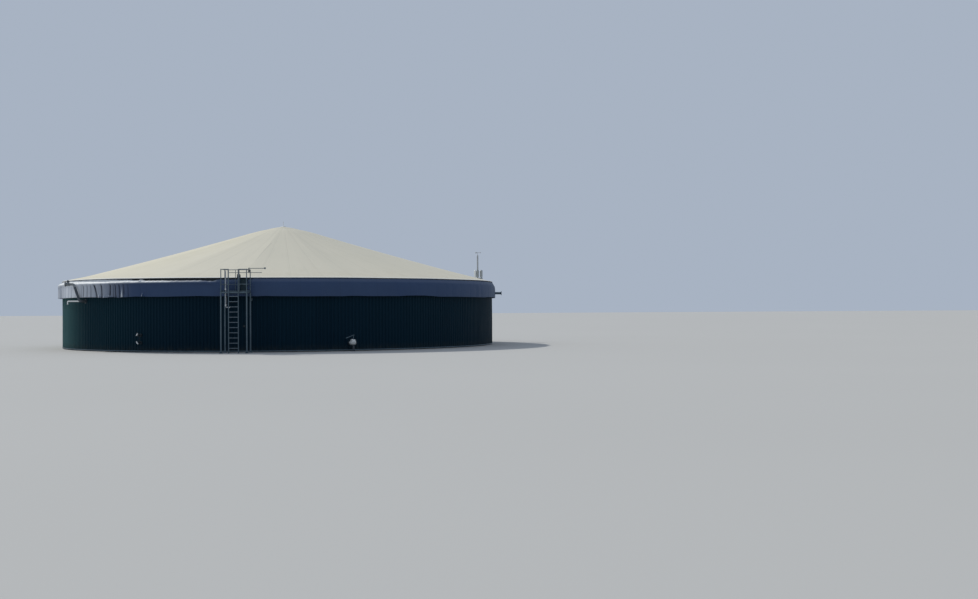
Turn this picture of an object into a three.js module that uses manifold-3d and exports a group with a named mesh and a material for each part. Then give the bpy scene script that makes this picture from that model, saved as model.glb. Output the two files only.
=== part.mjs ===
// Biogas digester: a round concrete tank with insulated, ribbed cladding, a tented gas membrane
// on a centre column, a hanging weather skirt, a front service platform with its ladder, and
// the gas, relief and drain fittings.
// Millimetres, +Z up. The origin is the tank's axis at ground level, and -Y is the platform side.
import * as THREE from "three";
import { mergeVertices } from "three/addons/utils/BufferGeometryUtils.js";
import Module from "manifold-3d";

const wasm = await Module();
wasm.setup();

// Driving dimensions of the tank
const TANK_INNER_R = 12000;
const WALL_THICKNESS = 250;
const WALL_TOP_Z = 3560;
const SLAB_THICKNESS = 250;
const CLADDING_OUTER_R = 12400;
const CLADDING_BOTTOM_Z = 60;
const CLADDING_TOP_Z = 3500;
const FACETS = 80;
const WALL_SEGMENTS = 10;
const QUARTERS = ["front", "right", "back", "left"];

// Driving dimensions of the membrane roof
const ROOF_GORES = 8;
const ROOF_TIP_Z = 7170;
const ROOF_SLOPE = 0.28;
const ROOF_MIDDLE_R = 6700;
const ROOF_SAG = 60;
const ROOF_RIM_R = 12450;
const ROOF_RIM_Z = 3695;
const ROOF_LIP = 30;
const ROOF_THICKNESS = 40;
const CAP_R = 950;
const CAP_TOP_Z = 7020;
// The radii of the cap's dome from its foot to its top, as shares of the cap's radius
const CAP_DOME = [1, 0.7, 0.35, 0];
const FINIAL_TOP_Z = 7350;
const FINIAL_R = 12;
const COLUMN_R = 250;
const COLUMN_HEAD_R = 900;
const COLUMN_HEAD_HEIGHT = 420;
const COLUMN_PLATE_THICKNESS = 60;
const COLUMN_SIDES = 24;

// Driving dimensions of the weather skirt
const SKIRT_R = 12600;
const SKIRT_BOTTOM_Z = 2740;
const SKIRT_THICKNESS = 25;
// How far in and how high the shoulder's corners are, from its foot to its top
const SKIRT_SHOULDER = [
  [0, 3200],
  [35, 3430],
  [125, 3600],
  [200, 3645],
];

// Driving dimensions of the service platform: post centres, heights and sections
const PLATFORM_LEFT_X = -705;
const PLATFORM_RIGHT_X = 545;
const PLATFORM_FRONT_Y = -13600;
const PLATFORM_REAR_Y = -12695;
const POST = 60;
const RAIL_POST = 34;
const RAIL_TOP_Z = 4075;
const DECK_TOP_Z = 2965;
const DECK_THICKNESS = 60;
const BASE_PLATE = 160;
const BASE_PLATE_THICKNESS = 12;
const RAIL = 34;
const END_STRAP = 8;
const KNEE_RAIL_Z = 3335;
const TOE_BOARD_HEIGHT = 80;
const TOE_BOARD_THICKNESS = 8;
const REAR_UPRIGHT_X = -185;
const TIE_Z = 2600;
const TIE_SIZE = 50;
const LADDER_LEFT_X = -320;
const LADDER_RIGHT_X = 150;
const STILE_WIDTH = 40;
const STILE_DEPTH = 60;
const RUNG_R = 14;
const RUNG_FIRST_Z = 239;
const RUNG_PITCH = 250;

// Driving dimensions of what stands on or behind the platform
const HATCH_LEFT_X = 30;
const HATCH_RIGHT_X = 380;
const HATCH_BOTTOM_Z = 3000;
const HATCH_TOP_Z = 3600;
const HATCH_FACE_Y = -12660;
const HATCH_FRAME_BACK_Y = -12430;
const HATCH_THROAT_TOP_Z = 3550;
const MAST_X = -5;
const MAST_Y = -12800;
const MAST_SIZE = 70;
const MAST_TOP_Z = 4050;
const MAST_FOOT = 150;
const MAST_FOOT_THICKNESS = 10;
const WINCH_LEFT_X = -60;
const WINCH_RIGHT_X = 110;
const WINCH_BOTTOM_Z = 3640;
const WINCH_TOP_Z = 3840;
const WINCH_DEPTH = 130;
const ROD_Y = -12860;
const UPPER_ROD_Z = 4120;
const UPPER_ROD_R = 17;
const UPPER_ROD_END_X = 1290;
const PULLEY_R = 50;
const PULLEY_WIDTH = 50;
const LOWER_ROD_Z = 3915;
const LOWER_ROD_R = 14;
const LOWER_ROD_START_X = -520;
const LOWER_ROD_END_X = 1130;
const ROD_CLAMP = 60;
const ROD_BLOCK_LEFT_X = 470;
const ROD_BLOCK_BOTTOM_Z = 3935;
const ROD_BLOCK_TOP_Z = 4050;
const ROD_BRACKET_THICKNESS = 30;
const SAMPLE_PIPE_X = -655;
const SAMPLE_PIPE_Y = -12752.5;
const SAMPLE_PIPE_R = 24;
const SAMPLE_PIPE_TOP_Z = 3995;
const SAMPLE_PIPE_BOTTOM_Z = 2225;
const SAMPLE_PIPE_END_X = -450;
const SAMPLE_SLEEVE_R = 32;
const SAMPLE_SLEEVE_HEIGHTS = [2330, 3110];
const SAMPLE_CLAMP = 40;

// Driving dimensions of the fittings round the tank; angles are measured from the front,
// positive towards +X
const GAS_RISER_FOOT_ANGLE = -45.7;
const GAS_RISER_TOP_ANGLE = -48.8;
const GAS_RISER_R = 65;
const GAS_RISER_FLANGE_R = 123.5;
const GAS_RISER_OUT_Z = 2600;
const GAS_RISER_TOP_Z = 3500;
const GAS_RISER_STAND_OFF_R = 12750;
const GAS_RISER_END_X = -10050;
const GAS_BRANCH_R = 32;
const GAS_BRANCH_END_X = -9750;
const GAS_BRANCH_DROP = 160;
const GAS_OUTLET_Z = 3020;
const GAS_OUTLET_R = 70;
const GAS_OUTLET_FLANGE_R = 126;
const GAS_OUTLET_END_R = 12980;
const RELIEF_ANGLE = 117.3;
const RELIEF_PIPE_R = 80;
const RELIEF_STAND_OFF_R = 12940;
const RELIEF_OUT_Z = 2480;
const RELIEF_BAR_Z = 4050;
const RELIEF_BAR_R = 60;
const RELIEF_POT_TOP_Z = 4610;
// How far to the side of the relief pipe each pot stands, and its radius
const RELIEF_POTS = [
  [-145, 75],
  [10, 78],
  [240, 85],
];
const VENT_MAST_R = 42;
const VENT_MAST_TOP_Z = 5560;
const VANE_Z = 5730;
const VANE_ROD_R = 12;
// How far to the side of the vent mast each ball of the vane is, and its radius
const VANE_BALLS = [
  [-100, 50],
  [180, 32],
];
const DRAIN_ANGLE = 25;
const DRAIN_Z = 420;
const DRAIN_PIPE_R = 60;
const DRAIN_FACE_R = 12870;
const DRAIN_BODY_R = 12780;
const DRAIN_BODY = [290, 180, 330];
const DRAIN_PROP_SIDE = 60;
const DRAIN_PROP_R = 50;
const DRAIN_STEM_R = 16;
const DRAIN_STEM_SIDE = 60;
const DRAIN_LEVER_Z = 800;
const DRAIN_LEVER_TIP_SIDE = -340;
const DRAIN_LEVER_TIP_Z = 655;
const SAMPLING_ANGLE = -25;
const SAMPLING_HEIGHTS = [475, 858];
const SAMPLING_PIPE_R = 35;
const SAMPLING_FACE_R = 12720;
const SAMPLING_KNOB_R = 50;
const SAMPLING_STRAP_AT_R = 12530;
const SAMPLING_STRAP_R = 22;
const SENSOR_ANGLE = 0.8;
const SENSOR_Z = 1290;
const SENSOR_R = 45;
const SENSOR_FACE_R = 12480;

// Clearance between faces that aren't level or square to the axes
const GAP = 0.3;
const FLANGE_THICKNESS = 24;
const WELD_DISTANCE = 1e-3;
const PIPE_SIDES = 12;
const ROD_SIDES = 8;
const DISC_SIDES = 16;
const BEND_STEPS = 6;
const BEND_TO_RADIUS = 2.2;

const WALL_OUTER_R = TANK_INNER_R + WALL_THICKNESS;

function metal(color, roughness) {
  return new THREE.MeshStandardMaterial({ color, roughness, metalness: 0.8 });
}

function matt(color, roughness) {
  return new THREE.MeshStandardMaterial({ color, roughness, metalness: 0 });
}

const concrete = () => matt(0xb3afa6, 0.9);
const greenSheet = () => new THREE.MeshStandardMaterial({ color: 0x1d3a3b, roughness: 0.5, metalness: 0.3 });
const skirtCloth = () => matt(0x5f6f86, 0.75);
const roofMembrane = () => matt(0xcfcbbb, 0.7);
const galvanised = () => metal(0x8f979c, 0.45);
const darkSteel = () => metal(0x2b3236, 0.5);
const whitePaint = () => matt(0xe2e4e2, 0.4);

const digester = new THREE.Group();

// Turns a closed geometry into a solid that other solids can be joined to or cut from.
function solidOf(geometry) {
  const bare = new THREE.BufferGeometry();
  bare.setAttribute("position", geometry.getAttribute("position").clone());
  if (geometry.index) {
    bare.setIndex(geometry.index.clone());
  }
  const merged = mergeVertices(bare, WELD_DISTANCE);
  const triVerts = new Uint32Array(merged.index.array);
  const vertProperties = merged.attributes.position.array;
  return new wasm.Manifold(new wasm.Mesh({ numProp: 3, vertProperties, triVerts }));
}

function geometryOf(solid) {
  const mesh = solid.getMesh();
  const geometry = new THREE.BufferGeometry();
  geometry.setAttribute("position", new THREE.BufferAttribute(mesh.vertProperties, 3));
  geometry.setIndex(new THREE.BufferAttribute(mesh.triVerts, 1));
  geometry.computeVertexNormals();
  return geometry;
}

function join(solids) {
  return solids.reduce((all, next) => all.add(next));
}

function addPart(name, solid, material) {
  const mesh = new THREE.Mesh(geometryOf(solid), material);
  mesh.name = name;
  digester.add(mesh);
  return mesh;
}

// A box between two corners.
function box(x0, x1, y0, y1, z0, z1) {
  const geometry = new THREE.BoxGeometry(x1 - x0, y1 - y0, z1 - z0);
  geometry.translate((x0 + x1) / 2, (y0 + y1) / 2, (z0 + z1) / 2);
  return solidOf(geometry);
}

// A body of revolution round the tank's axis. The profile is a list of [radius, height] pairs,
// anticlockwise as seen with the radius to the right and the height up.
function revolve(profile, sides = FACETS) {
  const points = profile.map(([r, z]) => new THREE.Vector2(r, z));
  if (profile[0][0] > 0 || profile[profile.length - 1][0] > 0) {
    points.push(points[0].clone());
  }
  const geometry = new THREE.LatheGeometry(points, sides);
  geometry.rotateX(Math.PI / 2);
  return solidOf(geometry);
}

// The direction of an angle from the front, positive towards +X.
function direction(degrees) {
  const angle = THREE.MathUtils.degToRad(degrees);
  return new THREE.Vector3(Math.sin(angle), -Math.cos(angle), 0);
}

// A wedge of the whole height round a middle angle, its sides moved in by half the gap.
function wedge(middleDegrees, widthDegrees) {
  const reach = 2 * SKIRT_R;
  const half = THREE.MathUtils.degToRad(widthDegrees / 2);
  const tip = GAP / 2 / Math.sin(half);
  const shape = new THREE.Shape();
  shape.moveTo(tip, 0);
  shape.lineTo(tip + reach * Math.cos(half), -reach * Math.sin(half));
  shape.lineTo(tip + reach * Math.cos(half), reach * Math.sin(half));
  shape.closePath();
  const geometry = new THREE.ExtrudeGeometry(shape, { depth: 2 * CAP_TOP_Z, bevelEnabled: false });
  geometry.translate(0, 0, -CAP_TOP_Z / 2);
  geometry.rotateZ(THREE.MathUtils.degToRad(middleDegrees - 90));
  return solidOf(geometry);
}

// A round tube or rod along straight runs with rounded corners.
function pipe(points, radius, bend = BEND_TO_RADIUS * radius) {
  const path = new THREE.CurvePath();
  let from = points[0];
  for (let i = 1; i < points.length - 1; i += 1) {
    const before = points[i].clone().sub(points[i - 1]).normalize();
    const after = points[i + 1].clone().sub(points[i]).normalize();
    const start = points[i].clone().addScaledVector(before, -bend);
    const end = points[i].clone().addScaledVector(after, bend);
    path.add(new THREE.LineCurve3(from, start));
    path.add(new THREE.QuadraticBezierCurve3(start, points[i], end));
    from = end;
  }
  path.add(new THREE.LineCurve3(from, points[points.length - 1]));
  const section = new THREE.Shape();
  for (let i = 0; i < PIPE_SIDES; i += 1) {
    const angle = (2 * Math.PI * i) / PIPE_SIDES;
    const corner = [radius * Math.cos(angle), radius * Math.sin(angle)];
    if (i === 0) {
      section.moveTo(...corner);
    } else {
      section.lineTo(...corner);
    }
  }
  const steps = BEND_STEPS * (points.length - 1);
  const geometry = new THREE.ExtrudeGeometry(section, { extrudePath: path, steps, bevelEnabled: false });
  return solidOf(geometry);
}

// A round disc or rod between two points.
function rod(from, to, radius, sides = PIPE_SIDES) {
  const along = to.clone().sub(from);
  const geometry = new THREE.CylinderGeometry(radius, radius, along.length(), sides);
  const turn = new THREE.Quaternion().setFromUnitVectors(new THREE.Vector3(0, 1, 0), along.normalize());
  geometry.applyQuaternion(turn);
  const middle = from.clone().add(to).multiplyScalar(0.5);
  geometry.translate(middle.x, middle.y, middle.z);
  return solidOf(geometry);
}

// A point at an angle from the front, a distance from the axis and a height.
function around(degrees, radius, z) {
  return direction(degrees).multiplyScalar(radius).setZ(z);
}

// What a fitting keeps of itself outside a drum of the tank, so that its end follows the flat
// facets of the wall or of the sheeting.
function outsideDrum(solid, drumRadius) {
  const drum = revolve([
    [0, -SLAB_THICKNESS],
    [drumRadius + GAP, -SLAB_THICKNESS],
    [drumRadius + GAP, WALL_TOP_Z],
    [0, WALL_TOP_Z],
  ]);
  return solid.subtract(drum);
}

// Splits a ring into equal sectors, the first one centred on the front.
function addSectors(names, ring, material, cutters = []) {
  const width = 360 / names.length;
  names.forEach((name, i) => {
    let sector = ring.intersect(wedge(i * width, width));
    cutters.forEach((cutter) => {
      sector = sector.subtract(cutter);
    });
    addPart(name, sector, material());
  });
}

function numbered(stem, count) {
  return Array.from({ length: count }, (_, i) => `${stem}_${String(i + 1).padStart(2, "0")}`);
}

// Pipes and the hatch throat pass through the sheeting and the skirt in holes of their own.
const PIERCE = 4;
const pierced = [];

function addTank() {
  const slab = revolve([
    [0, 0],
    [WALL_OUTER_R, 0],
    [WALL_OUTER_R, SLAB_THICKNESS],
    [0, SLAB_THICKNESS],
  ]);
  addPart("floor_slab", slab, concrete());
  const wall = revolve([
    [TANK_INNER_R, SLAB_THICKNESS],
    [WALL_OUTER_R, SLAB_THICKNESS],
    [WALL_OUTER_R, WALL_TOP_Z],
    [TANK_INNER_R, WALL_TOP_Z],
  ]);
  addSectors(numbered("tank_wall", WALL_SEGMENTS), wall, concrete);
  const cladding = revolve([
    [WALL_OUTER_R + GAP, CLADDING_BOTTOM_Z],
    [CLADDING_OUTER_R, CLADDING_BOTTOM_Z],
    [CLADDING_OUTER_R, CLADDING_TOP_Z],
    [WALL_OUTER_R + GAP, CLADDING_TOP_Z],
  ]);
  addSectors(
    QUARTERS.map((side) => `cladding_${side}`),
    cladding,
    greenSheet,
    pierced,
  );
}

// The height of a straight slope from the tip at a radius.
function slopeZ(radius) {
  return ROOF_TIP_Z - ROOF_SLOPE * radius;
}

function addRoof() {
  const inner = CAP_R + GAP;
  const top = [
    [ROOF_RIM_R, ROOF_RIM_Z],
    [ROOF_MIDDLE_R, slopeZ(ROOF_MIDDLE_R) - ROOF_SAG],
    [inner, slopeZ(inner)],
  ];
  const middleZ = slopeZ(ROOF_MIDDLE_R) - ROOF_SAG - ROOF_THICKNESS;
  const gores = revolve([
    [inner, slopeZ(inner) - ROOF_THICKNESS],
    [ROOF_MIDDLE_R, middleZ],
    [TANK_INNER_R, slopeZ(TANK_INNER_R) - 2 * ROOF_THICKNESS],
    [TANK_INNER_R, WALL_TOP_Z],
    [CLADDING_OUTER_R, WALL_TOP_Z],
    [CLADDING_OUTER_R, ROOF_RIM_Z - ROOF_LIP],
    [ROOF_RIM_R, ROOF_RIM_Z - ROOF_LIP],
    ...top,
  ]);
  addSectors(numbered("roof_gore", ROOF_GORES), gores, roofMembrane);

  const capFootZ = slopeZ(CAP_R);
  const capRise = CAP_TOP_Z - capFootZ;
  const dome = CAP_DOME.map((share) => [share * CAP_R, CAP_TOP_Z - capRise * share * share]);
  const headZ = capFootZ - ROOF_THICKNESS;
  const cap = revolve([[0, headZ], [CAP_R, headZ], ...dome], FACETS / 2);
  const finialFoot = new THREE.Vector3(0, 0, CAP_TOP_Z - ROOF_THICKNESS);
  const finial = rod(finialFoot, finialFoot.clone().setZ(FINIAL_TOP_Z), FINIAL_R, ROD_SIDES);
  addPart("roof_apex_cap", cap.add(finial), roofMembrane());

  const prop = revolve(
    [
      [0, SLAB_THICKNESS],
      [COLUMN_R, SLAB_THICKNESS],
      [COLUMN_R, headZ - COLUMN_HEAD_HEIGHT],
      [COLUMN_HEAD_R, headZ - COLUMN_PLATE_THICKNESS],
      [COLUMN_HEAD_R, headZ],
      [0, headZ],
    ],
    COLUMN_SIDES,
  );
  addPart("centre_column", prop, galvanised());
}

function addSkirt() {
  const inner = CLADDING_OUTER_R + GAP;
  const outerFace = SKIRT_SHOULDER.map(([inward, z]) => [Math.max(SKIRT_R - inward, inner), z]);
  const innerFace = SKIRT_SHOULDER.map(([inward, z]) => [
    Math.max(SKIRT_R - inward - SKIRT_THICKNESS, inner),
    inward === 0 ? z : z - SKIRT_THICKNESS,
  ]);
  const skirt = revolve([
    ...innerFace.reverse(),
    [SKIRT_R - SKIRT_THICKNESS, SKIRT_BOTTOM_Z],
    [SKIRT_R, SKIRT_BOTTOM_Z],
    ...outerFace,
  ]);
  addSectors(
    QUARTERS.map((side) => `skirt_${side}`),
    skirt,
    skirtCloth,
    pierced,
  );
}

// A square box centred on x and y.
function column(x, y, size, z0, z1) {
  return box(x - size / 2, x + size / 2, y - size / 2, y + size / 2, z0, z1);
}

// A corner post of the platform with its base plate, thinner beside the rails, and a tie to the
// tank wall at the rear.
function addPost(name, x, y, hasTie) {
  const parts = [
    column(x, y, POST, 0, DECK_TOP_Z),
    column(x, y, RAIL_POST, DECK_TOP_Z, RAIL_TOP_Z),
    column(x, y, BASE_PLATE, 0, BASE_PLATE_THICKNESS),
  ];
  if (hasTie) {
    const tieHalf = TIE_SIZE / 2;
    const tie = box(x - tieHalf, x + tieHalf, y, -TANK_INNER_R, TIE_Z - tieHalf, TIE_Z + tieHalf);
    parts.push(outsideDrum(tie, CLADDING_OUTER_R));
  }
  addPart(name, join(parts), galvanised());
}

function addPlatform() {
  addPost("post_front_left", PLATFORM_LEFT_X, PLATFORM_FRONT_Y, false);
  addPost("post_front_right", PLATFORM_RIGHT_X, PLATFORM_FRONT_Y, false);
  addPost("post_rear_left", PLATFORM_LEFT_X, PLATFORM_REAR_Y, true);
  addPost("post_rear_right", PLATFORM_RIGHT_X, PLATFORM_REAR_Y, true);

  // The deck reaches round the four posts, so its corners are notched.
  const half = POST / 2;
  const [left, right] = [PLATFORM_LEFT_X, PLATFORM_RIGHT_X];
  const [front, rear] = [PLATFORM_FRONT_Y, PLATFORM_REAR_Y];
  const deckBottomZ = DECK_TOP_Z - DECK_THICKNESS;
  const across = box(left + half, right - half, front - half, rear + half, deckBottomZ, DECK_TOP_Z);
  const along = box(left - half, right + half, front + half, rear - half, deckBottomZ, DECK_TOP_Z);
  const pipeHole = rod(samplePipeAt(0), samplePipeAt(RAIL_TOP_Z), SAMPLE_SLEEVE_R + PIERCE);
  addPart("platform_deck", across.add(along).subtract(pipeHole), galvanised());

  addLadder(front - half);
  const edge = RAIL_POST / 2;
  const gateLeft = LADDER_LEFT_X - STILE_WIDTH / 2;
  const gateRight = LADDER_RIGHT_X + STILE_WIDTH / 2;
  const [gateLeftUpright, gateRightUpright] = [gateLeft - RAIL / 2, gateRight + RAIL / 2];
  const [innerLeft, innerRight] = [left + edge, right - edge];
  addRailPanel("guard_rail_left", [left, front + edge], [left, rear - edge], true);
  addRailPanel("guard_rail_right", [right, front + edge], [right, rear - edge], true);
  addRailPanel("guard_rail_rear", [innerLeft, rear], [innerRight, rear], true, [REAR_UPRIGHT_X]);
  addRailPanel("guard_rail_front_left", [innerLeft, front], [gateLeft, front], false, [gateLeftUpright]);
  addRailPanel("guard_rail_front_right", [gateRight, front], [innerRight, front], false, [gateRightUpright]);
}

// A flat guard-rail panel: top rail, knee rail and any uprights, a thin strap at each end that
// bolts to a post, and a toe board or none.
function addRailPanel(name, from, to, hasToeBoard, uprights = []) {
  const alongX = from[1] === to[1];
  const start = alongX ? from[0] : from[1];
  const end = alongX ? to[0] : to[1];
  const middle = alongX ? from[1] : from[0];
  const bar = (a, b, thick, z0, z1) =>
    alongX
      ? box(a, b, middle - thick / 2, middle + thick / 2, z0, z1)
      : box(middle - thick / 2, middle + thick / 2, a, b, z0, z1);
  const parts = [
    bar(start, end, RAIL, RAIL_TOP_Z - RAIL, RAIL_TOP_Z),
    bar(start, end, RAIL, KNEE_RAIL_Z - RAIL / 2, KNEE_RAIL_Z + RAIL / 2),
    bar(start, start + END_STRAP, RAIL, DECK_TOP_Z, RAIL_TOP_Z),
    bar(end - END_STRAP, end, RAIL, DECK_TOP_Z, RAIL_TOP_Z),
  ];
  if (hasToeBoard) {
    parts.push(bar(start, end, TOE_BOARD_THICKNESS, DECK_TOP_Z, DECK_TOP_Z + TOE_BOARD_HEIGHT));
  }
  uprights.forEach((at) => {
    parts.push(bar(at - RAIL / 2, at + RAIL / 2, RAIL, DECK_TOP_Z, RAIL_TOP_Z));
  });
  addPart(name, join(parts), galvanised());
}

function addLadder(backY) {
  const frontY = backY - STILE_DEPTH;
  const parts = [LADDER_LEFT_X, LADDER_RIGHT_X].map((x) =>
    box(x - STILE_WIDTH / 2, x + STILE_WIDTH / 2, frontY, backY, 0, RAIL_TOP_Z),
  );
  const rungY = (frontY + backY) / 2;
  for (let z = RUNG_FIRST_Z; z < DECK_TOP_Z; z += RUNG_PITCH) {
    const from = new THREE.Vector3(LADDER_LEFT_X, rungY, z);
    const to = new THREE.Vector3(LADDER_RIGHT_X, rungY, z);
    parts.push(rod(from, to, RUNG_R, ROD_SIDES));
  }
  addPart("ladder", join(parts), galvanised());
}

// The hatch on the tank wall behind the platform: a throat through the sheeting and a frame
// that stands through the skirt, a little higher than the throat.
function addServiceHatch() {
  const [x0, x1] = [HATCH_LEFT_X, HATCH_RIGHT_X];
  const throat = box(x0, x1, HATCH_FACE_Y, -TANK_INNER_R, HATCH_BOTTOM_Z, HATCH_THROAT_TOP_Z);
  const frame = box(x0, x1, HATCH_FACE_Y, HATCH_FRAME_BACK_Y, HATCH_BOTTOM_Z, HATCH_TOP_Z);
  addPart("service_hatch", outsideDrum(throat, WALL_OUTER_R).add(frame), darkSteel());
  const [z0, z1] = [HATCH_BOTTOM_Z - PIERCE, HATCH_TOP_Z + PIERCE];
  pierced.push(box(x0 - PIERCE, x1 + PIERCE, HATCH_FACE_Y, -TANK_INNER_R, z0, z1));
}

// The mast of the mixer hoist stands on the deck, with its winch in front.
function addHoistMast() {
  const front = MAST_Y - MAST_SIZE / 2;
  const mast = join([
    column(MAST_X, MAST_Y, MAST_FOOT, DECK_TOP_Z, DECK_TOP_Z + MAST_FOOT_THICKNESS),
    column(MAST_X, MAST_Y, MAST_SIZE, DECK_TOP_Z, MAST_TOP_Z),
    box(WINCH_LEFT_X, WINCH_RIGHT_X, front - WINCH_DEPTH, front, WINCH_BOTTOM_Z, WINCH_TOP_Z),
  ]);
  addPart("hoist_mast", mast, darkSteel());
}

// Two level rods that guide the hoist's rope: a clamp holds the lower one to the mast, and a block
// on the rear right post holds both.
function addRopeGuideArm() {
  const at = (x, z) => new THREE.Vector3(x, ROD_Y, z);
  const postLeft = PLATFORM_RIGHT_X - RAIL_POST / 2;
  const postFront = PLATFORM_REAR_Y - RAIL_POST / 2;
  const mastFront = MAST_Y - MAST_SIZE / 2;
  const half = ROD_CLAMP / 2;
  const [clampBottomZ, clampTopZ] = [LOWER_ROD_Z - half, LOWER_ROD_Z + half];
  const pulleyFront = at(UPPER_ROD_END_X, UPPER_ROD_Z).setY(ROD_Y - PULLEY_WIDTH / 2);
  const pulleyBack = pulleyFront.clone().setY(ROD_Y + PULLEY_WIDTH / 2);
  const arm = join([
    rod(at(ROD_BLOCK_LEFT_X, UPPER_ROD_Z), at(UPPER_ROD_END_X, UPPER_ROD_Z), UPPER_ROD_R, ROD_SIDES),
    rod(at(LOWER_ROD_START_X, LOWER_ROD_Z), at(LOWER_ROD_END_X, LOWER_ROD_Z), LOWER_ROD_R, ROD_SIDES),
    box(MAST_X - half, MAST_X + half, ROD_Y - half, mastFront, clampBottomZ, clampTopZ),
    box(ROD_BLOCK_LEFT_X, postLeft, ROD_Y - half, postFront, ROD_BLOCK_BOTTOM_Z, ROD_BLOCK_TOP_Z),
    box(
      postLeft - ROD_BRACKET_THICKNESS,
      postLeft,
      ROD_Y - half,
      ROD_Y + half,
      LOWER_ROD_Z - 2 * LOWER_ROD_R,
      UPPER_ROD_Z + 2 * UPPER_ROD_R,
    ),
    rod(pulleyFront, pulleyBack, PULLEY_R),
  ]);
  addPart("rope_guide_arm", arm, galvanised());
}

// The sample pipe stands in the rear left corner of the rails, clear of both panels.
function samplePipeAt(z) {
  return new THREE.Vector3(SAMPLE_PIPE_X, SAMPLE_PIPE_Y, z);
}

// The pale pipe that runs down the rear left post, with two sleeves and a turned end. A clamp
// at the upper sleeve holds it to the left guard rail's rear strap.
function addSamplePipe() {
  const top = samplePipeAt(SAMPLE_PIPE_TOP_Z);
  const corner = samplePipeAt(SAMPLE_PIPE_BOTTOM_Z);
  const end = corner.clone().setX(SAMPLE_PIPE_END_X);
  const parts = [pipe([top, corner, end], SAMPLE_PIPE_R)];
  SAMPLE_SLEEVE_HEIGHTS.forEach((z) => {
    const half = new THREE.Vector3(0, 0, SAMPLE_SLEEVE_R);
    const middle = samplePipeAt(z);
    parts.push(rod(middle.clone().sub(half), middle.add(half), SAMPLE_SLEEVE_R));
  });
  const strapFace = PLATFORM_REAR_Y - RAIL_POST / 2 - END_STRAP;
  const z = SAMPLE_SLEEVE_HEIGHTS[1];
  const half = SAMPLE_CLAMP / 2;
  parts.push(box(PLATFORM_LEFT_X, SAMPLE_PIPE_X, SAMPLE_PIPE_Y - half, strapFace, z - half, z + half));
  addPart("sample_pipe", join(parts), whitePaint());
}

// A round flange with its face at a point.
function flange(face, outward, radius) {
  const back = face.clone().addScaledVector(outward, -FLANGE_THICKNESS);
  return rod(back, face, radius, DISC_SIDES);
}

// The gas riser leaves the wall under the skirt, leans up past it and turns level. A thinner
// branch for condensate runs level from its foot and turns down.
function addGasRiser() {
  const inside = around(GAS_RISER_FOOT_ANGLE, TANK_INNER_R, GAS_RISER_OUT_Z);
  const foot = around(GAS_RISER_FOOT_ANGLE, GAS_RISER_STAND_OFF_R, GAS_RISER_OUT_Z);
  const top = around(GAS_RISER_TOP_ANGLE, GAS_RISER_STAND_OFF_R, GAS_RISER_TOP_Z);
  const end = top.clone().setX(GAS_RISER_END_X);
  const branchEnd = foot.clone().setX(GAS_BRANCH_END_X);
  const drop = branchEnd.clone().setZ(GAS_RISER_OUT_Z - GAS_BRANCH_DROP);
  const riser = join([
    pipe([inside, foot, top, end], GAS_RISER_R),
    flange(end, new THREE.Vector3(-1, 0, 0), GAS_RISER_FLANGE_R),
    pipe([foot, branchEnd, drop], GAS_BRANCH_R),
  ]);
  addPart("gas_riser", outsideDrum(riser, WALL_OUTER_R), galvanised());
  pierced.push(rod(inside, foot, GAS_RISER_R + PIERCE));
}

function addGasOutlet() {
  const outward = new THREE.Vector3(1, 0, 0);
  const start = new THREE.Vector3(TANK_INNER_R, 0, GAS_OUTLET_Z);
  const face = new THREE.Vector3(GAS_OUTLET_END_R, 0, GAS_OUTLET_Z);
  const outlet = rod(start, face, GAS_OUTLET_R).add(flange(face, outward, GAS_OUTLET_FLANGE_R));
  addPart("gas_outlet", outsideDrum(outlet, WALL_OUTER_R), galvanised());
  pierced.push(rod(start, face, GAS_OUTLET_R + PIERCE));
}

// A point to the side of the relief pipe's axis, along X.
function reliefAt(side, z) {
  const point = around(RELIEF_ANGLE, RELIEF_STAND_OFF_R, z);
  return point.setX(point.x + side);
}

// The pressure relief valve at the back right: its pipe, and a crosspiece with three pots.
function addReliefValve() {
  const start = around(RELIEF_ANGLE, TANK_INNER_R, RELIEF_OUT_Z);
  const foot = reliefAt(0, RELIEF_OUT_Z);
  const sides = RELIEF_POTS.map(([side]) => side);
  const reach = RELIEF_PIPE_R;
  const parts = [
    pipe([start, foot, reliefAt(0, RELIEF_BAR_Z)], RELIEF_PIPE_R),
    rod(
      reliefAt(Math.min(...sides) - reach, RELIEF_BAR_Z),
      reliefAt(Math.max(...sides) + reach, RELIEF_BAR_Z),
      RELIEF_BAR_R,
    ),
  ];
  RELIEF_POTS.forEach(([side, radius]) => {
    parts.push(rod(reliefAt(side, RELIEF_BAR_Z), reliefAt(side, RELIEF_POT_TOP_Z), radius, DISC_SIDES));
  });
  addPart("relief_valve", outsideDrum(join(parts), WALL_OUTER_R), galvanised());
  pierced.push(rod(start, foot, RELIEF_PIPE_R + PIERCE));
}

// The vent mast on the middle pot, with a small vane of two balls on top.
function addVentMast() {
  const side = RELIEF_POTS[1][0];
  const ends = VANE_BALLS.map(([ballSide]) => reliefAt(side + ballSide, VANE_Z));
  const rodFoot = reliefAt(side, VENT_MAST_TOP_Z - VANE_ROD_R);
  const parts = [
    rod(reliefAt(side, RELIEF_POT_TOP_Z), reliefAt(side, VENT_MAST_TOP_Z), VENT_MAST_R),
    rod(rodFoot, reliefAt(side, VANE_Z + VANE_ROD_R), VANE_ROD_R, ROD_SIDES),
    rod(ends[0], ends[1], VANE_ROD_R, ROD_SIDES),
  ];
  VANE_BALLS.forEach(([, radius], i) => {
    const ball = new THREE.SphereGeometry(radius, PIPE_SIDES, ROD_SIDES);
    ball.translate(ends[i].x, ends[i].y, ends[i].z);
    parts.push(solidOf(ball));
  });
  addPart("vent_mast", join(parts), whitePaint());
}

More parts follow.
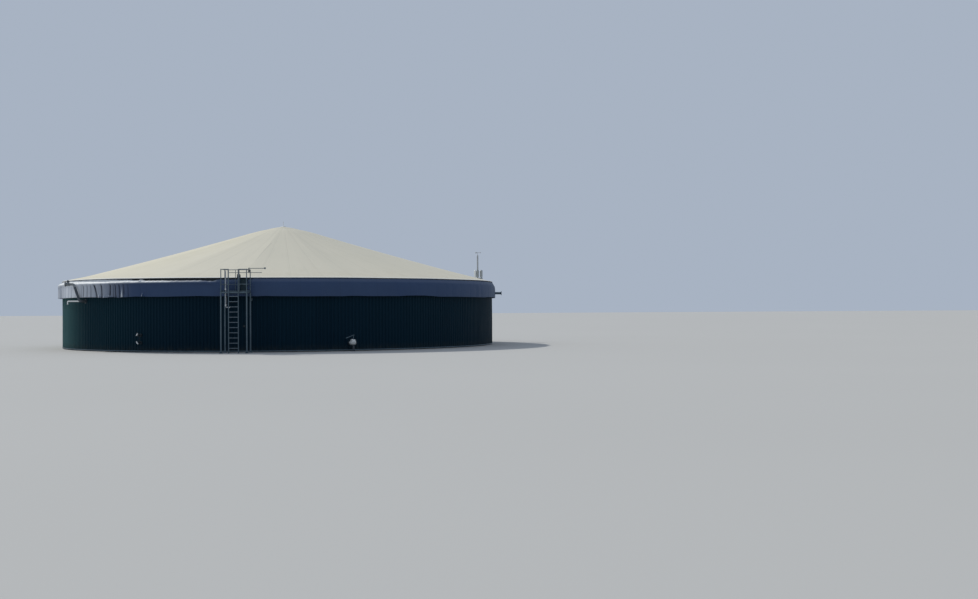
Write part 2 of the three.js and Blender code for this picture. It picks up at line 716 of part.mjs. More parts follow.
// The drain at the wall foot: a pipe, a white valve body, a prop under one side and a lever.
function addDrainValve() {
  const outward = direction(DRAIN_ANGLE);
  const sideways = new THREE.Vector3(-outward.y, outward.x, 0);
  const at = (side, z) => around(DRAIN_ANGLE, DRAIN_BODY_R, z).addScaledVector(sideways, side);
  const leverFoot = at(DRAIN_STEM_SIDE, DRAIN_LEVER_Z);
  const start = around(DRAIN_ANGLE, TANK_INNER_R, DRAIN_Z);
  const face = around(DRAIN_ANGLE, DRAIN_FACE_R, DRAIN_Z);
  const body = new THREE.BoxGeometry(...DRAIN_BODY);
  body.rotateZ(THREE.MathUtils.degToRad(DRAIN_ANGLE));
  body.translate(...at(0, DRAIN_Z).toArray());
  const valve = join([
    rod(start, face, DRAIN_PIPE_R),
    solidOf(body),
    rod(at(DRAIN_PROP_SIDE, 0), at(DRAIN_PROP_SIDE, DRAIN_Z), DRAIN_PROP_R),
    rod(at(DRAIN_STEM_SIDE, DRAIN_Z), leverFoot, DRAIN_STEM_R, ROD_SIDES),
    rod(leverFoot, at(DRAIN_LEVER_TIP_SIDE, DRAIN_LEVER_TIP_Z), DRAIN_STEM_R, ROD_SIDES),
  ]);
  addPart("drain_valve", outsideDrum(valve, WALL_OUTER_R), whitePaint());
  pierced.push(rod(start, face, DRAIN_PIPE_R + PIERCE));
}

// Two small sampling cocks, one above the other, joined by a strap on the sheeting.
function addSamplingCocks() {
  const parts = SAMPLING_HEIGHTS.map((z) => {
    const start = around(SAMPLING_ANGLE, TANK_INNER_R, z);
    const face = around(SAMPLING_ANGLE, SAMPLING_FACE_R, z);
    pierced.push(rod(start, face, SAMPLING_PIPE_R + PIERCE));
    return rod(start, face, SAMPLING_PIPE_R).add(flange(face, direction(SAMPLING_ANGLE), SAMPLING_KNOB_R));
  });
  const [low, high] = SAMPLING_HEIGHTS.map((z) => around(SAMPLING_ANGLE, SAMPLING_STRAP_AT_R, z));
  parts.push(rod(low, high, SAMPLING_STRAP_R, ROD_SIDES));
  addPart("sampling_cocks", outsideDrum(join(parts), WALL_OUTER_R), darkSteel());
}

function addWallSensor() {
  const start = around(SENSOR_ANGLE, TANK_INNER_R, SENSOR_Z);
  const face = around(SENSOR_ANGLE, SENSOR_FACE_R, SENSOR_Z);
  addPart("wall_sensor", outsideDrum(rod(start, face, SENSOR_R), WALL_OUTER_R), darkSteel());
  pierced.push(rod(start, face, SENSOR_R + PIERCE));
}

addServiceHatch();
addGasRiser();
addGasOutlet();
addReliefValve();
addVentMast();
addDrainValve();
addSamplingCocks();
addWallSensor();
addTank();
addSkirt();
addRoof();
addPlatform();
addHoistMast();
addRopeGuideArm();
addSamplePipe();

export default digester;
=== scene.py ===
# Looks of the biogas digester: a clad round tank with a tented gas membrane, a weather skirt,
# a service platform and its fittings. Metres, +Z up, the tank's axis at the origin, -Y is the front.
import itertools
import math

import bmesh
import bpy
import numpy as np
from mathutils import Matrix, Vector


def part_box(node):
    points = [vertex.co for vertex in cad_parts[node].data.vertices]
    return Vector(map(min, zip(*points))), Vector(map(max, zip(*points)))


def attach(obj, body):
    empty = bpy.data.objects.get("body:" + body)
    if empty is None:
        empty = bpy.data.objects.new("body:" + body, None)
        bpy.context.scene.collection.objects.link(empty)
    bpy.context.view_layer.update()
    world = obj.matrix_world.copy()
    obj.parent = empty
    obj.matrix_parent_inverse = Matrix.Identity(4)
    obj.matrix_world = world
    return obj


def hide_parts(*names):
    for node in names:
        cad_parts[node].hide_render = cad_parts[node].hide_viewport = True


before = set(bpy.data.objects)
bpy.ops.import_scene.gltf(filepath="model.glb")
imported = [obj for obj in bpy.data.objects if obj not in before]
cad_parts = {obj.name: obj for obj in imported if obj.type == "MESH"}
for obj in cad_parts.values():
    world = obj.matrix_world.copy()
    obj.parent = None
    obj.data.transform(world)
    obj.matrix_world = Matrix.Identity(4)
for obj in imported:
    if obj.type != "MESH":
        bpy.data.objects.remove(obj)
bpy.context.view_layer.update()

# The camera stands where the photograph was taken; pixels are those of its 978 x 599 frame.
FRAME_WIDTH = 978
FRAME_HEIGHT = 599
FOCAL_PIXELS = 1200
HORIZON_PIXEL = 310.7
CAMERA_PLACE = (12.23, -71.47, 1.98)
CAMERA_ROLL = 0.006

# The key light comes from the back left, as the sun does in the photograph.
SUN_DIRECTION = (-0.56, 0.52, 0.645)
SUN_POWER = 2.5
SUN_WIDTH = 2.0
SUN_COLOR = (1.0, 0.97, 0.90)
SKY_COLOR = (0.46, 0.53, 0.64)
SKY_POWER = 0.85
STAGE_REACH = 900

UP = Vector((0, 0, 1))

# Membrane roof: radius and height over the rounded tip, which runs out into the even slope
TIP_Z = 7.17
ROOF_SLOPE = 0.28
TIP_PROFILE = [
    (0.0, 7.035), (0.30, 7.012), (0.54, 6.970), (0.75, 6.925), (0.88, 6.890), (0.98, 6.860), (1.25, 6.806),
    (1.60, 6.720), (2.20, 6.552),
]
HEAD_R = 0.16
HEAD_TOP_Z = 7.035
FINIAL_TOP_Z = 7.35
BLEND_R = 2.0
RIM_RING_R = 12.28
RIM_R = 12.45
# Radius and height of the lip that turns down over the rim ring and back under it
LIP = [
    (12.345, 3.718), (12.395, 3.711), (12.425, 3.704), (12.443, 3.695), (12.450, 3.685), (12.446, 3.677),
    (12.430, 3.673),
]
# How far the rim stands above its even height, by the angle from the front
RIM_LIFT = [(-140, 0.0), (-118, 0.045), (-33, 0.045), (-25, 0.025), (-12, 0.010), (-4, 0.0)]
BELTS = 16
BELT_OFFSET = 0.6
BELT_RIDGE = 0.030
ROOF_SAG = 0.06
ROOF_STRIPS = 48
# Half the width of the weld between two strips
SEAM_HALF = 0.035

# Weather skirt: radius and height down the cloth, where it rolls over a batten and where it is
# tucked up under the roof's edge
ROLLED = [
    (12.405, 3.575), (12.450, 3.597), (12.530, 3.602), (12.580, 3.578), (12.622, 3.545), (12.645, 3.505),
    (12.640, 3.455), (12.620, 3.400), (12.606, 3.320), (12.600, 3.200), (12.600, 3.030), (12.600, 2.870),
    (12.602, 2.740),
]
TUCKED = [
    (12.405, 3.645), (12.440, 3.630), (12.475, 3.580), (12.520, 3.500), (12.548, 3.450), (12.570, 3.400),
    (12.585, 3.330), (12.592, 3.260), (12.597, 3.180), (12.599, 3.100), (12.600, 3.000), (12.600, 2.870),
    (12.602, 2.740),
]
# How high the top of the cloth is, and its inner edge behind the roll, by the angle from the front
ROLL_TOP = [
    (-52, 3.600), (-38, 3.575), (-29, 3.592), (-20, 3.575), (-14, 3.560), (-9.3, 3.562), (-6.3, 3.525),
]
TUCKED_TOP = [(2.4, 3.600), (2.8, 3.645)]
BEHIND_ROLL = [(-140, 3.50), (-118, 3.70), (-38, 3.70), (-30, 3.66), (-26, 3.62), (-22, 3.575), (-18, 3.50)]
# How far the hem hangs above its lowest height, by the angle from the front
HEM_LIFT = [
    (-150, 0.0), (-120, 0.052), (-52, 0.052), (-47, 0.049), (-43, 0.057), (-39.3, 0.043), (-36.2, 0.007),
    (-33.3, 0.048), (-30.6, 0.010), (-28, 0.043), (-25.6, 0.059), (-22, 0.038), (-17, 0.028), (-13, 0.034),
    (-9, 0.050), (-5.4, 0.030), (3.6, 0.022), (5.4, 0.036), (8.9, 0.017), (12.5, 0.006), (23, 0.004),
    (25.2, 0.030), (27.2, 0.027), (30, 0.012), (37.5, 0.016), (39.8, 0.044), (44.6, 0.050), (47.2, 0.033),
    (49.9, 0.003), (53, 0.0), (60, -0.010), (70, -0.005), (75, 0.020), (90, 0.0),
]
ROLLED_TOP_Z = 3.60
HEM_Z = 2.74
HEM_WELD_Z = 2.82
SKIRT_R = 12.60
SKIRT_LENGTHS = 40
TUCK_START = -6.6
TUCK_WIDTH = 1.5
# The last patch of painted sunlight on the roll, before the cloth is tucked up
LAST_ROLL_SUNLIGHT_ANGLE = -6.3
# The colour of the painted shade in the skirt's folds
FOLD_SHADE = (0.009, 0.015, 0.030)
# Creases of the skirt that show in the photograph: the angle from the front, how many degrees each
# leans to the right down to the hem, and its depth, which also sets how dark its painted shade is
SEEN_CREASES = [
    (-46.2, 0.0, 0.040), (-45.2, 0.0, 0.080), (-43.3, 0.0, 0.090), (-41.5, 0.1, 0.070), (-39.65, 1.4, 0.175),
    (-37.2, 0.3, 0.180), (-34.0, -0.3, 0.150), (-32.9, 0.0, 0.050), (-32.2, 0.2, 0.090), (-30.9, 0.3, 0.090),
    (-29.5, 0.2, 0.060), (-28.1, 0.2, 0.040), (-24.4, 0.5, 0.012),
]
# Where the hem stands out as small bright flares: the angle, how far, half the width in degrees and
# the share of the fall where the flare begins
FLARES = [
    (-38.1, 0.13, 0.34, 0.75), (-35.9, 0.08, 0.22, 0.80), (-34.4, 0.14, 0.30, 0.80),
    (-30.0, 0.17, 0.25, 0.30), (-23.8, 0.17, 0.24, 0.70),
]
# Where a fold of the roll stands up to the roof's edge
ROLL_KNOT = (-24.6, 0.055, 0.3)
PLEATED_FROM = -118
PLEATED_TO = -27
CREASE_WIDTH = 0.036
# The cloth never folds back into the sheeting
INNERMOST_R = 12.425
SIDES = ["front", "right", "back", "left"]

# Ribbed cladding
RIBS = 424
RIB_CREST_R = 12.412
RIB_TROUGH_R = 12.377
CLAD_BOTTOM_Z = 0.06
CLAD_TOP_Z = 3.50
RIBS_PER_SHEET = 5
# A rib and its trough: the share of the pitch, and how far it stands out
RIB_PROFILE = [
    (0.00, 0.0), (0.165, 0.0), (0.185, 0.06), (0.295, 0.94), (0.315, 1.0),
    (0.685, 1.0), (0.705, 0.94), (0.815, 0.06), (0.835, 0.0),
]

# Fittings round the tank; angles are measured from the front, positive towards +X
WALL_R = 12.26
RISER_FOOT_ANGLE = -45.7
RISER_TOP_ANGLE = -48.8
RISER_STAND_OFF_R = 12.75
RISER_R = 0.065
RISER_OUT_Z = 2.60
RISER_TOP_Z = 3.50
RISER_END_X = -10.05
BRANCH_R = 0.032
BRANCH_END_X = -9.75
BRANCH_DROP = 0.16
OUTLET_Z = 3.02
OUTLET_R = 0.07
OUTLET_END_X = 12.98
RELIEF_ANGLE = 117.3
RELIEF_R = 12.94
RELIEF_PIPE_R = 0.08
RELIEF_OUT_Z = 2.48
RELIEF_BAR_Z = 4.05
RELIEF_POT_TOP_Z = 4.61
# How far to the side of the relief pipe each pot stands, and its radius
RELIEF_POTS = [(-0.145, 0.075), (0.010, 0.078), (0.240, 0.085)]
VENT_MAST_R = 0.050
VENT_MAST_TOP_Z = 5.56
VANE_Z = 5.73
# How far to the side of the vent mast each ball of the vane is, and its radius
VANE_BALLS = [(-0.10, 0.050), (0.18, 0.032)]
DRAIN_ANGLE = 25
DRAIN_Z = 0.42
DRAIN_BODY_R = 12.78
DRAIN_PROP_SIDE = 0.06
DRAIN_PROP_R = 0.05
DRAIN_STEM_SIDE = 0.06
DRAIN_LEVER_Z = 0.80
DRAIN_TIP_SIDE = -0.34
DRAIN_TIP_Z = 0.655
COCKS_ANGLE = -25
COCK_HEIGHTS = [0.475, 0.858]
# The white levers of the two cocks: how far to the side and how high each starts and ends
COCK_LEVERS = [((-0.025, 0.540), (0.085, 0.415)), ((-0.036, 0.849), (0.074, 0.949))]
COCK_FLANGE_R = 12.52
COCK_STRAP_R = 12.53
COCK_BODY_R = 12.56
COCK_STEM_R = 12.59
COCK_FACE_R = 12.72
SENSOR_ANGLE = 0.8
SENSOR_Z = 1.29


def middle(node):
    low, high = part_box(node)
    return (Vector(low) + Vector(high)) / 2


# Platform, from the frame
LEFT_X = middle("post_front_left").x
RIGHT_X = middle("post_front_right").x
FRONT_Y = middle("post_front_left").y
REAR_Y = middle("guard_rail_rear").y
POST_TOP_Z = Vector(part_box("post_front_left")[1]).z
DECK_BOTTOM_Z = Vector(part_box("platform_deck")[0]).z
DECK_TOP_Z = Vector(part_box("platform_deck")[1]).z
LADDER_LOW, LADDER_HIGH = (Vector(corner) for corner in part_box("ladder"))
HATCH_LOW, HATCH_HIGH = (Vector(corner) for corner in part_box("service_hatch"))
POST = 0.06
RAIL_POST = 0.034
RAIL = 0.034
END_STRAP = 0.008
KNEE_RAIL = 0.025
KNEE_RAIL_Z = 3.335
TOE_BOARD = 0.08
GRATING_PITCH = 0.0333
STILE_WIDTH = 0.04
RUNG_FIRST_Z = 0.239
RUNG_R = 0.017
RUNG_PITCH = 0.25
TIE_Z = 2.60
HATCH_BRACE_Z = 3.33
REAR_UPRIGHT_X = -0.185
MAST_X = -0.005
MAST_Y = -12.80
MAST = 0.07
MAST_TOP_Z = 4.05
WINCH_LOW_Z = 3.64
WINCH_HIGH_Z = 3.84
ROPE_TURNS = 9
ROD_Y = -12.86
UPPER_ROD_Z = 4.12
UPPER_ROD_END_X = 1.29
LOWER_ROD_Z = 3.915
LOWER_ROD_START_X = -0.52
LOWER_ROD_END_X = 1.13
ROD_BLOCK_X = 0.47
SAMPLE_PIPE_X = -0.655
SAMPLE_PIPE_Y = -12.7525
SAMPLE_PIPE_R = 0.024
SAMPLE_SLEEVE_R = 0.032
SAMPLE_CLAMP_Z = 3.11
SAMPLE_SLEEVE_Z = 2.33
SAMPLE_BAND_HEIGHTS = [2.62, 3.60]

chance = np.random.default_rng(11)
scene = bpy.context.scene


def polar(degrees, radius, z):
    """The point at an angle from the front, positive towards +X."""
    angle = math.radians(degrees)
    return Vector((radius * math.sin(angle), -radius * math.cos(angle), z))


def smooth_step(value, start, end):
    """0 before start, 1 after end, with a soft turn between."""
    t = np.clip((value - start) / (end - start), 0.0, 1.0)
    return t * t * (3 - 2 * t)


def table_value(angle, table):
    """The value at an angle, straight between the entries of a table and held outside it."""
    return np.interp(angle, [at for at, _ in table], [value for _, value in table])


def axes_round(outward):
    """A direction at length 1, and two more that are square to it and to each other."""
    outward = Vector(outward).normalized()
    across = outward.orthogonal().normalized()
    return outward, across, outward.cross(across)


def circle(centre, across, over, radius, count, offset=0.0):
    """Points on a circle in the plane of two directions; offset is a share of one step."""
    points = []
    for i in range(count):
        angle = 2 * math.pi * (i + offset) / count
        points.append(centre + (across * math.cos(angle) + over * math.sin(angle)) * radius)
    return points


def bent(corners, bend, steps):
    """The points of a line through corners, each inner one rounded from bend before to bend after."""
    corners = [Vector(c) for c in corners]
    path = [corners[0]]
    for before, at, after in zip(corners, corners[1:], corners[2:]):
        start = at + (before - at).normalized() * bend
        end = at + (after - at).normalized() * bend
        for i in range(steps + 1):
            t = i / steps
            path.append(start * (1 - t) ** 2 + at * 2 * t * (1 - t) + end * t ** 2)
    path.append(corners[-1])
    return path


class Shape:
    """Closed solids that end up in one mesh."""

    def __init__(self):
        self.points = []
        self.faces = []

    def add(self, points, faces):
        start = len(self.points)
        self.points.extend(tuple(p) for p in points)
        self.faces.extend(tuple(start + i for i in face) for face in faces)

    def box(self, low, high, chamfer=0.003, turn=None):
        """A box between two corners with chamfered edges; turn is a matrix for the whole box."""
        low, high = np.array(low, float), np.array(high, float)
        centre, half = (low + high) / 2, (high - low) / 2
        cut = min(chamfer, 0.4 * half.min())
        corners = list(itertools.product((-1, 1), repeat=3))
        number = {signs: i for i, signs in enumerate(corners)}
        points = []
        for signs in corners:
            for axis in range(3):
                reach = half - cut
                reach[axis] = half[axis]
                points.append(Vector(centre + np.array(signs) * reach))
        if turn is not None:
            points = [turn @ p for p in points]
        faces = [(3 * i, 3 * i + 1, 3 * i + 2) for i in range(8)]
        for axis in range(3):
            b, c = [a for a in range(3) if a != axis]

            def corner(along, across, over):
                signs = [0, 0, 0]
                signs[axis], signs[b], signs[c] = along, across, over
                return 3 * number[tuple(signs)]

            ring = ((-1, -1), (1, -1), (1, 1), (-1, 1))
            for side in (-1, 1):
                faces.append(tuple(corner(side, s, t) + axis for s, t in ring))
            for s, t in ring:
                first, second = corner(-1, s, t), corner(1, s, t)
                faces.append((first + b, second + b, second + c, first + c))
        self.add(points, faces)

    def loft(self, rings, closed=False):
        """A skin through rings of equally many points, capped at both ends or closed on itself."""
        count = len(rings[0])
        points = [p for ring in rings for p in ring]
        faces = []
        for i in range(len(rings) if closed else len(rings) - 1):
            first, second = i * count, (i + 1) % len(rings) * count
            for j in range(count):
                k = (j + 1) % count
                faces.append((first + j, first + k, second + k, second + j))
        if not closed:
            faces.append(tuple(range(count)))
            faces.append(tuple(range(len(points) - count, len(points))))
        self.add(points, faces)

    def turned(self, start, outward, profile, sides=24):
        """A turned solid: profile is a list of (distance along outward, radius)."""
        outward, across, over = axes_round(outward)
        rings = []
        for along, radius in profile:
            rings.append(circle(Vector(start) + outward * along, across, over, max(radius, 1e-4), sides))
        self.loft(rings)

    def rod(self, start, end, radius, sides=16, edge=0.0):
        """A straight round rod, its rims rounded by edge."""
        along = Vector(end) - Vector(start)
        long = along.length
        profile = [(0, radius), (long, radius)]
        if edge:
            profile = [(0, radius - edge), (edge, radius), (long - edge, radius), (long, radius - edge)]
        self.turned(start, along, profile, sides)

    def pipe(self, corners, radius, bend, sides=20, steps=8):
        """A round pipe through corner points, bent smoothly at each."""
        path = bent(corners, bend, steps)
        across = axes_round(path[1] - path[0])[1]
        rings = []
        for i, point in enumerate(path):
            before, after = path[max(i - 1, 0)], path[min(i + 1, len(path) - 1)]
            direction = (after - before).normalized()
            across = (across - direction * across.dot(direction)).normalized()
            rings.append(circle(point, across, direction.cross(across), radius, sides))
        self.loft(rings)

    def hoop(self, profile):
        """A closed profile of (radius, height) pairs swept right round the tank."""
        steps = 720
        rings = []
        for i in range(steps):
            rings.append([polar(360 * i / steps, radius, z) for radius, z in profile])
        self.loft(rings, closed=True)

    def bolt(self, at, outward, size):
        """A washer and a hexagon head of that width across corners, standing out from a point."""
        self.turned(at, outward, [(0, 0.62 * size), (0.1 * size, 0.62 * size)], 12)
        head = [(0.1 * size, 0.5 * size), (0.42 * size, 0.5 * size), (0.5 * size, 0.42 * size)]
        self.turned(at, outward, head, 6)

    def bolt_ring(self, centre, outward, radius, count, size):
        """Bolts on a circle round centre, in the plane that outward leaves."""
        outward, across, over = axes_round(outward)
        for at in circle(Vector(centre), across, over, radius, count, 0.5):
            self.bolt(at, outward, size)

    def flange(self, face, outward, pipe_radius, plate_radius, thickness=0.022, bolts=8):
        """A pipe flange whose face lies at face, with its neck and bolts on the pipe side."""
        outward = Vector(outward).normalized()
        back = -thickness
        neck = back - 0.6 * pipe_radius
        edge = 0.003
        self.turned(face, outward, [
            (neck, pipe_radius * 1.02), (back - 0.004, pipe_radius * 1.22), (back, plate_radius - edge),
            (back + edge, plate_radius), (-edge, plate_radius), (0, plate_radius - edge),
        ], 32)
        bolt_circle = (plate_radius + 1.22 * pipe_radius) / 2
        size = 0.5 * (plate_radius - 1.2 * pipe_radius)
        self.bolt_ring(Vector(face) + outward * back, -outward, bolt_circle, bolts, size)


def place(name, mesh, material, replaced):
    """Puts a mesh in the scene as a piece of the tank."""
    mesh.materials.append(material)
    piece = bpy.data.objects.new(name, mesh)
    scene.collection.objects.link(piece)
    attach(piece, "root")
    if replaced:
        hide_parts(*replaced)
    return piece


def build(name, shape, material, slot, *replaced):
    """Makes one piece of the solids in a shape."""
    mesh = bpy.data.meshes.new(name)
    mesh.from_pydata(shape.points, [], shape.faces)
    work = bmesh.new()
    work.from_mesh(mesh)
    bmesh.ops.recalc_face_normals(work, faces=work.faces)
    work.to_mesh(mesh)
    work.free()
    mesh.shade_smooth()
    mesh.set_sharp_from_angle(angle=math.radians(35))
    place(name, mesh, material, replaced)


def grid_piece(name, degrees, radius, height, material, replaced, wrap=False, sharp=None):
    """A skin on a grid of rows and columns, given in degrees from the front, radius and height."""
    rows, columns = radius.shape
    angle = np.radians(np.broadcast_to(degrees, radius.shape))
    points = np.stack([radius * np.sin(angle), -radius * np.cos(angle), height], axis=-1).reshape(-1, 3)
    spans = columns if wrap else columns - 1
    row, column = np.meshgrid(np.arange(rows - 1), np.arange(spans), indexing="ij")
    here, below, right = row * columns, (row + 1) * columns, (column + 1) % columns
    quads = np.stack([here + column, below + column, below + right, here + right], axis=-1).reshape(-1, 4)
    mesh = bpy.data.meshes.new(name)
    mesh.vertices.add(len(points))
    mesh.vertices.foreach_set("co", points.ravel())
    mesh.loops.add(quads.size)
    mesh.loops.foreach_set("vertex_index", quads.ravel())
    mesh.polygons.add(len(quads))
    mesh.polygons.foreach_set("loop_start", np.arange(0, quads.size, 4))
    mesh.update(calc_edges=True)
    mesh.validate()
    mesh.shade_smooth()
    if sharp is not None:
        mesh.set_sharp_from_angle(angle=math.radians(sharp))
    return place(name, mesh, material, replaced)


class Value:
    """A number that a material works out at each point, for sums with other values and numbers."""

    def __init__(self, look, socket):
        self.look = look
        self.socket = socket

    def __add__(self, other):
        return self.look.math("ADD", self, other)

    def __sub__(self, other):
        return self.look.math("SUBTRACT", self, other)

    def __rsub__(self, other):
        return self.look.math("SUBTRACT", other, self)

    def __mul__(self, other):
        return self.look.math("MULTIPLY", self, other)

    def __abs__(self):
        return self.look.math("ABSOLUTE", self)

    def span(self, start, end, low=0.0, high=1.0):
        """low where the value is start, high where it is end, soft between and held outside."""
        inputs = {"Value": self, "From Min": start, "From Max": end, "To Min": low, "To Max": high}
        return self.look.node("ShaderNodeMapRange", "Result", inputs, interpolation_type="SMOOTHSTEP")


class Look:
    """One procedural material. Its textures lie in the tank's own metres."""

    def __init__(self, name, color, roughness, metallic=0.0, specular=0.5):
        self.material = bpy.data.materials.new(name)
        self.material.use_nodes = True
        self.tree = self.material.node_tree
        self.shader = self.tree.nodes["Principled BSDF"]
        self.shader.inputs["Base Color"].default_value = (*color, 1)
        self.shader.inputs["Roughness"].default_value = roughness
        self.shader.inputs["Metallic"].default_value = metallic
        self.shader.inputs["Specular IOR Level"].default_value = specular
        self.paint = (*color, 1)
        self.coordinates = self.node("ShaderNodeTexCoord", "Object")

    def link(self, value, socket):
        if isinstance(value, Value):
            self.tree.links.new(value.socket, socket)
        else:
            socket.default_value = value

    def node(self, kind, output, inputs=(), **settings):
        """One output of a new node whose inputs, by name or number, are linked or set."""
        node = self.tree.nodes.new(kind)
        for name, value in settings.items():
            setattr(node, name, value)
        for name, value in dict(inputs).items():
            self.link(value, node.inputs[name])
        return Value(self, node.outputs[output])

    def math(self, operation, *values):
        return self.node("ShaderNodeMath", 0, enumerate(values), operation=operation)

    def axes(self):
        """The x, y and z of a point."""
        x = self.node("ShaderNodeSeparateXYZ", 0, {0: self.coordinates})
        return [Value(self, socket) for socket in x.socket.node.outputs]

    def round_the_tank(self):
        """Angle from the front in radians, distance from the axis and height."""
        x, y, z = self.axes()
        return self.math("ARCTAN2", x, y * -1.0), self.math("SQRT", x * x + y * y), z

    def noise(self, scale, detail=3.0, roughness=0.55, at=None):
        inputs = {"Vector": at or self.coordinates, "Scale": scale, "Detail": detail, "Roughness": roughness}
        return self.node("ShaderNodeTexNoise", "Fac", inputs)

    def streaks(self, *axes, roughness=0.6):
        """Noise over two or three axes that are already stretched."""
        return self.noise(1.0, 5, roughness, self.node("ShaderNodeCombineXYZ", 0, enumerate(axes)))

    def cells(self, scale):
        """A random grey for each cell of a crystal-like pattern."""
        color = self.node("ShaderNodeTexVoronoi", "Color", {"Scale": scale, "Vector": self.coordinates})
        return self.node("ShaderNodeSeparateColor", 0, {0: color})

    def tones(self, turn):
        """A random number for each whole step of a value, such as each sheet round the tank."""
        step = self.math("FLOOR", turn)
        return self.node("ShaderNodeTexWhiteNoise", "Value", {"W": step}, noise_dimensions="1D")

    def from_seam(self, turn):
        """How far a value is from the middle of its step, where each sheet has its seam."""
        return abs(self.math("FRACT", turn) - 0.5)

    def tint(self, share, color):
        """Mixes a colour over the paint so far, by a share from 0 to 1."""
        inputs = {"Factor": share, "A": self.paint, "B": (*color, 1)}
        self.paint = self.node("ShaderNodeMix", "Result", inputs, data_type="RGBA")

    def finish(self, roughness, height, depth):
        """The material with its paint, its roughness and bumps of that depth in metres."""
        bump = self.node("ShaderNodeBump", "Normal", {"Distance": depth, "Height": height})
        for name, value in (("Base Color", self.paint), ("Roughness", roughness), ("Normal", bump)):
            self.link(value, self.shader.inputs[name])
        return self.material


def membrane_look():
    look = Look("roof_membrane", (0.660, 0.618, 0.505), 0.66, specular=0.16)
    angle, radius, _ = look.round_the_tank()
    turn = angle * (ROOF_STRIPS / (2 * math.pi))
    clouds = look.noise(0.32, 4)
    look.tint(clouds.span(0.35, 0.75, 0, 0.5), (0.615, 0.585, 0.485))
    look.tint(look.tones(turn) * 0.14, (0.57, 0.545, 0.45))
    # Rain streaks run down the slope, and dust settles towards the rim.
    look.tint(look.streaks(angle * 26.0, radius * 0.22).span(0.5, 0.82, 0, 0.28), (0.48, 0.465, 0.40))
    look.tint(radius.span(9.0, 12.4) * look.noise(1.7, 5).span(0.42, 0.75, 0, 0.30), (0.55, 0.50, 0.37))
    # Welded seams between the strips are a hand wide and a little darker at their edges.
    from_seam = look.from_seam(turn) * radius * (2 * math.pi / ROOF_STRIPS)
    look.tint(abs(from_seam - SEAM_HALF).span(0.004, 0.014, 0.22, 0), (0.36, 0.35, 0.30))
    # A wavering dark line runs down the front along a belt: painted shade of the belt's crease.
    bend = look.math("EXPONENT", (radius - 4.9) * (-1 / 0.9))
    from_belt_crease_shade = abs(angle - (bend * math.radians(1.2) + math.radians(0.2))) * radius
    belt_crease_shade = radius.span(4.4, 4.8) * radius.span(7.4, 9.0, 0.32, 0.12)
    look.tint(belt_crease_shade * from_belt_crease_shade.span(0.02, 0.05, 1, 0), (0.40, 0.385, 0.33))
    # Painted sunlight warms the sunny left side a little, and the hem over the rim ring is a paler band.
    look.tint(angle.span(-0.9, -0.1, 0.5, 0) * angle.span(-2.6, -2.0), (0.63, 0.58, 0.43))
    look.tint(radius.span(12.28, 12.36, 0, 0.85), (0.78, 0.78, 0.75))
    weave = look.noise(160, 2) * 0.25
    seam = from_seam.span(SEAM_HALF - 0.005, SEAM_HALF + 0.005, 1.0, 0)
    return look.finish(clouds.span(0.3, 0.7, 0.60, 0.72), weave + seam, 0.0012)


def flare_lean(angle, reach):
    """How many degrees a flare leans down to the hem, so that it hangs upright seen from the front."""
    return -math.degrees(reach * math.tan(math.radians(angle)) / SKIRT_R)


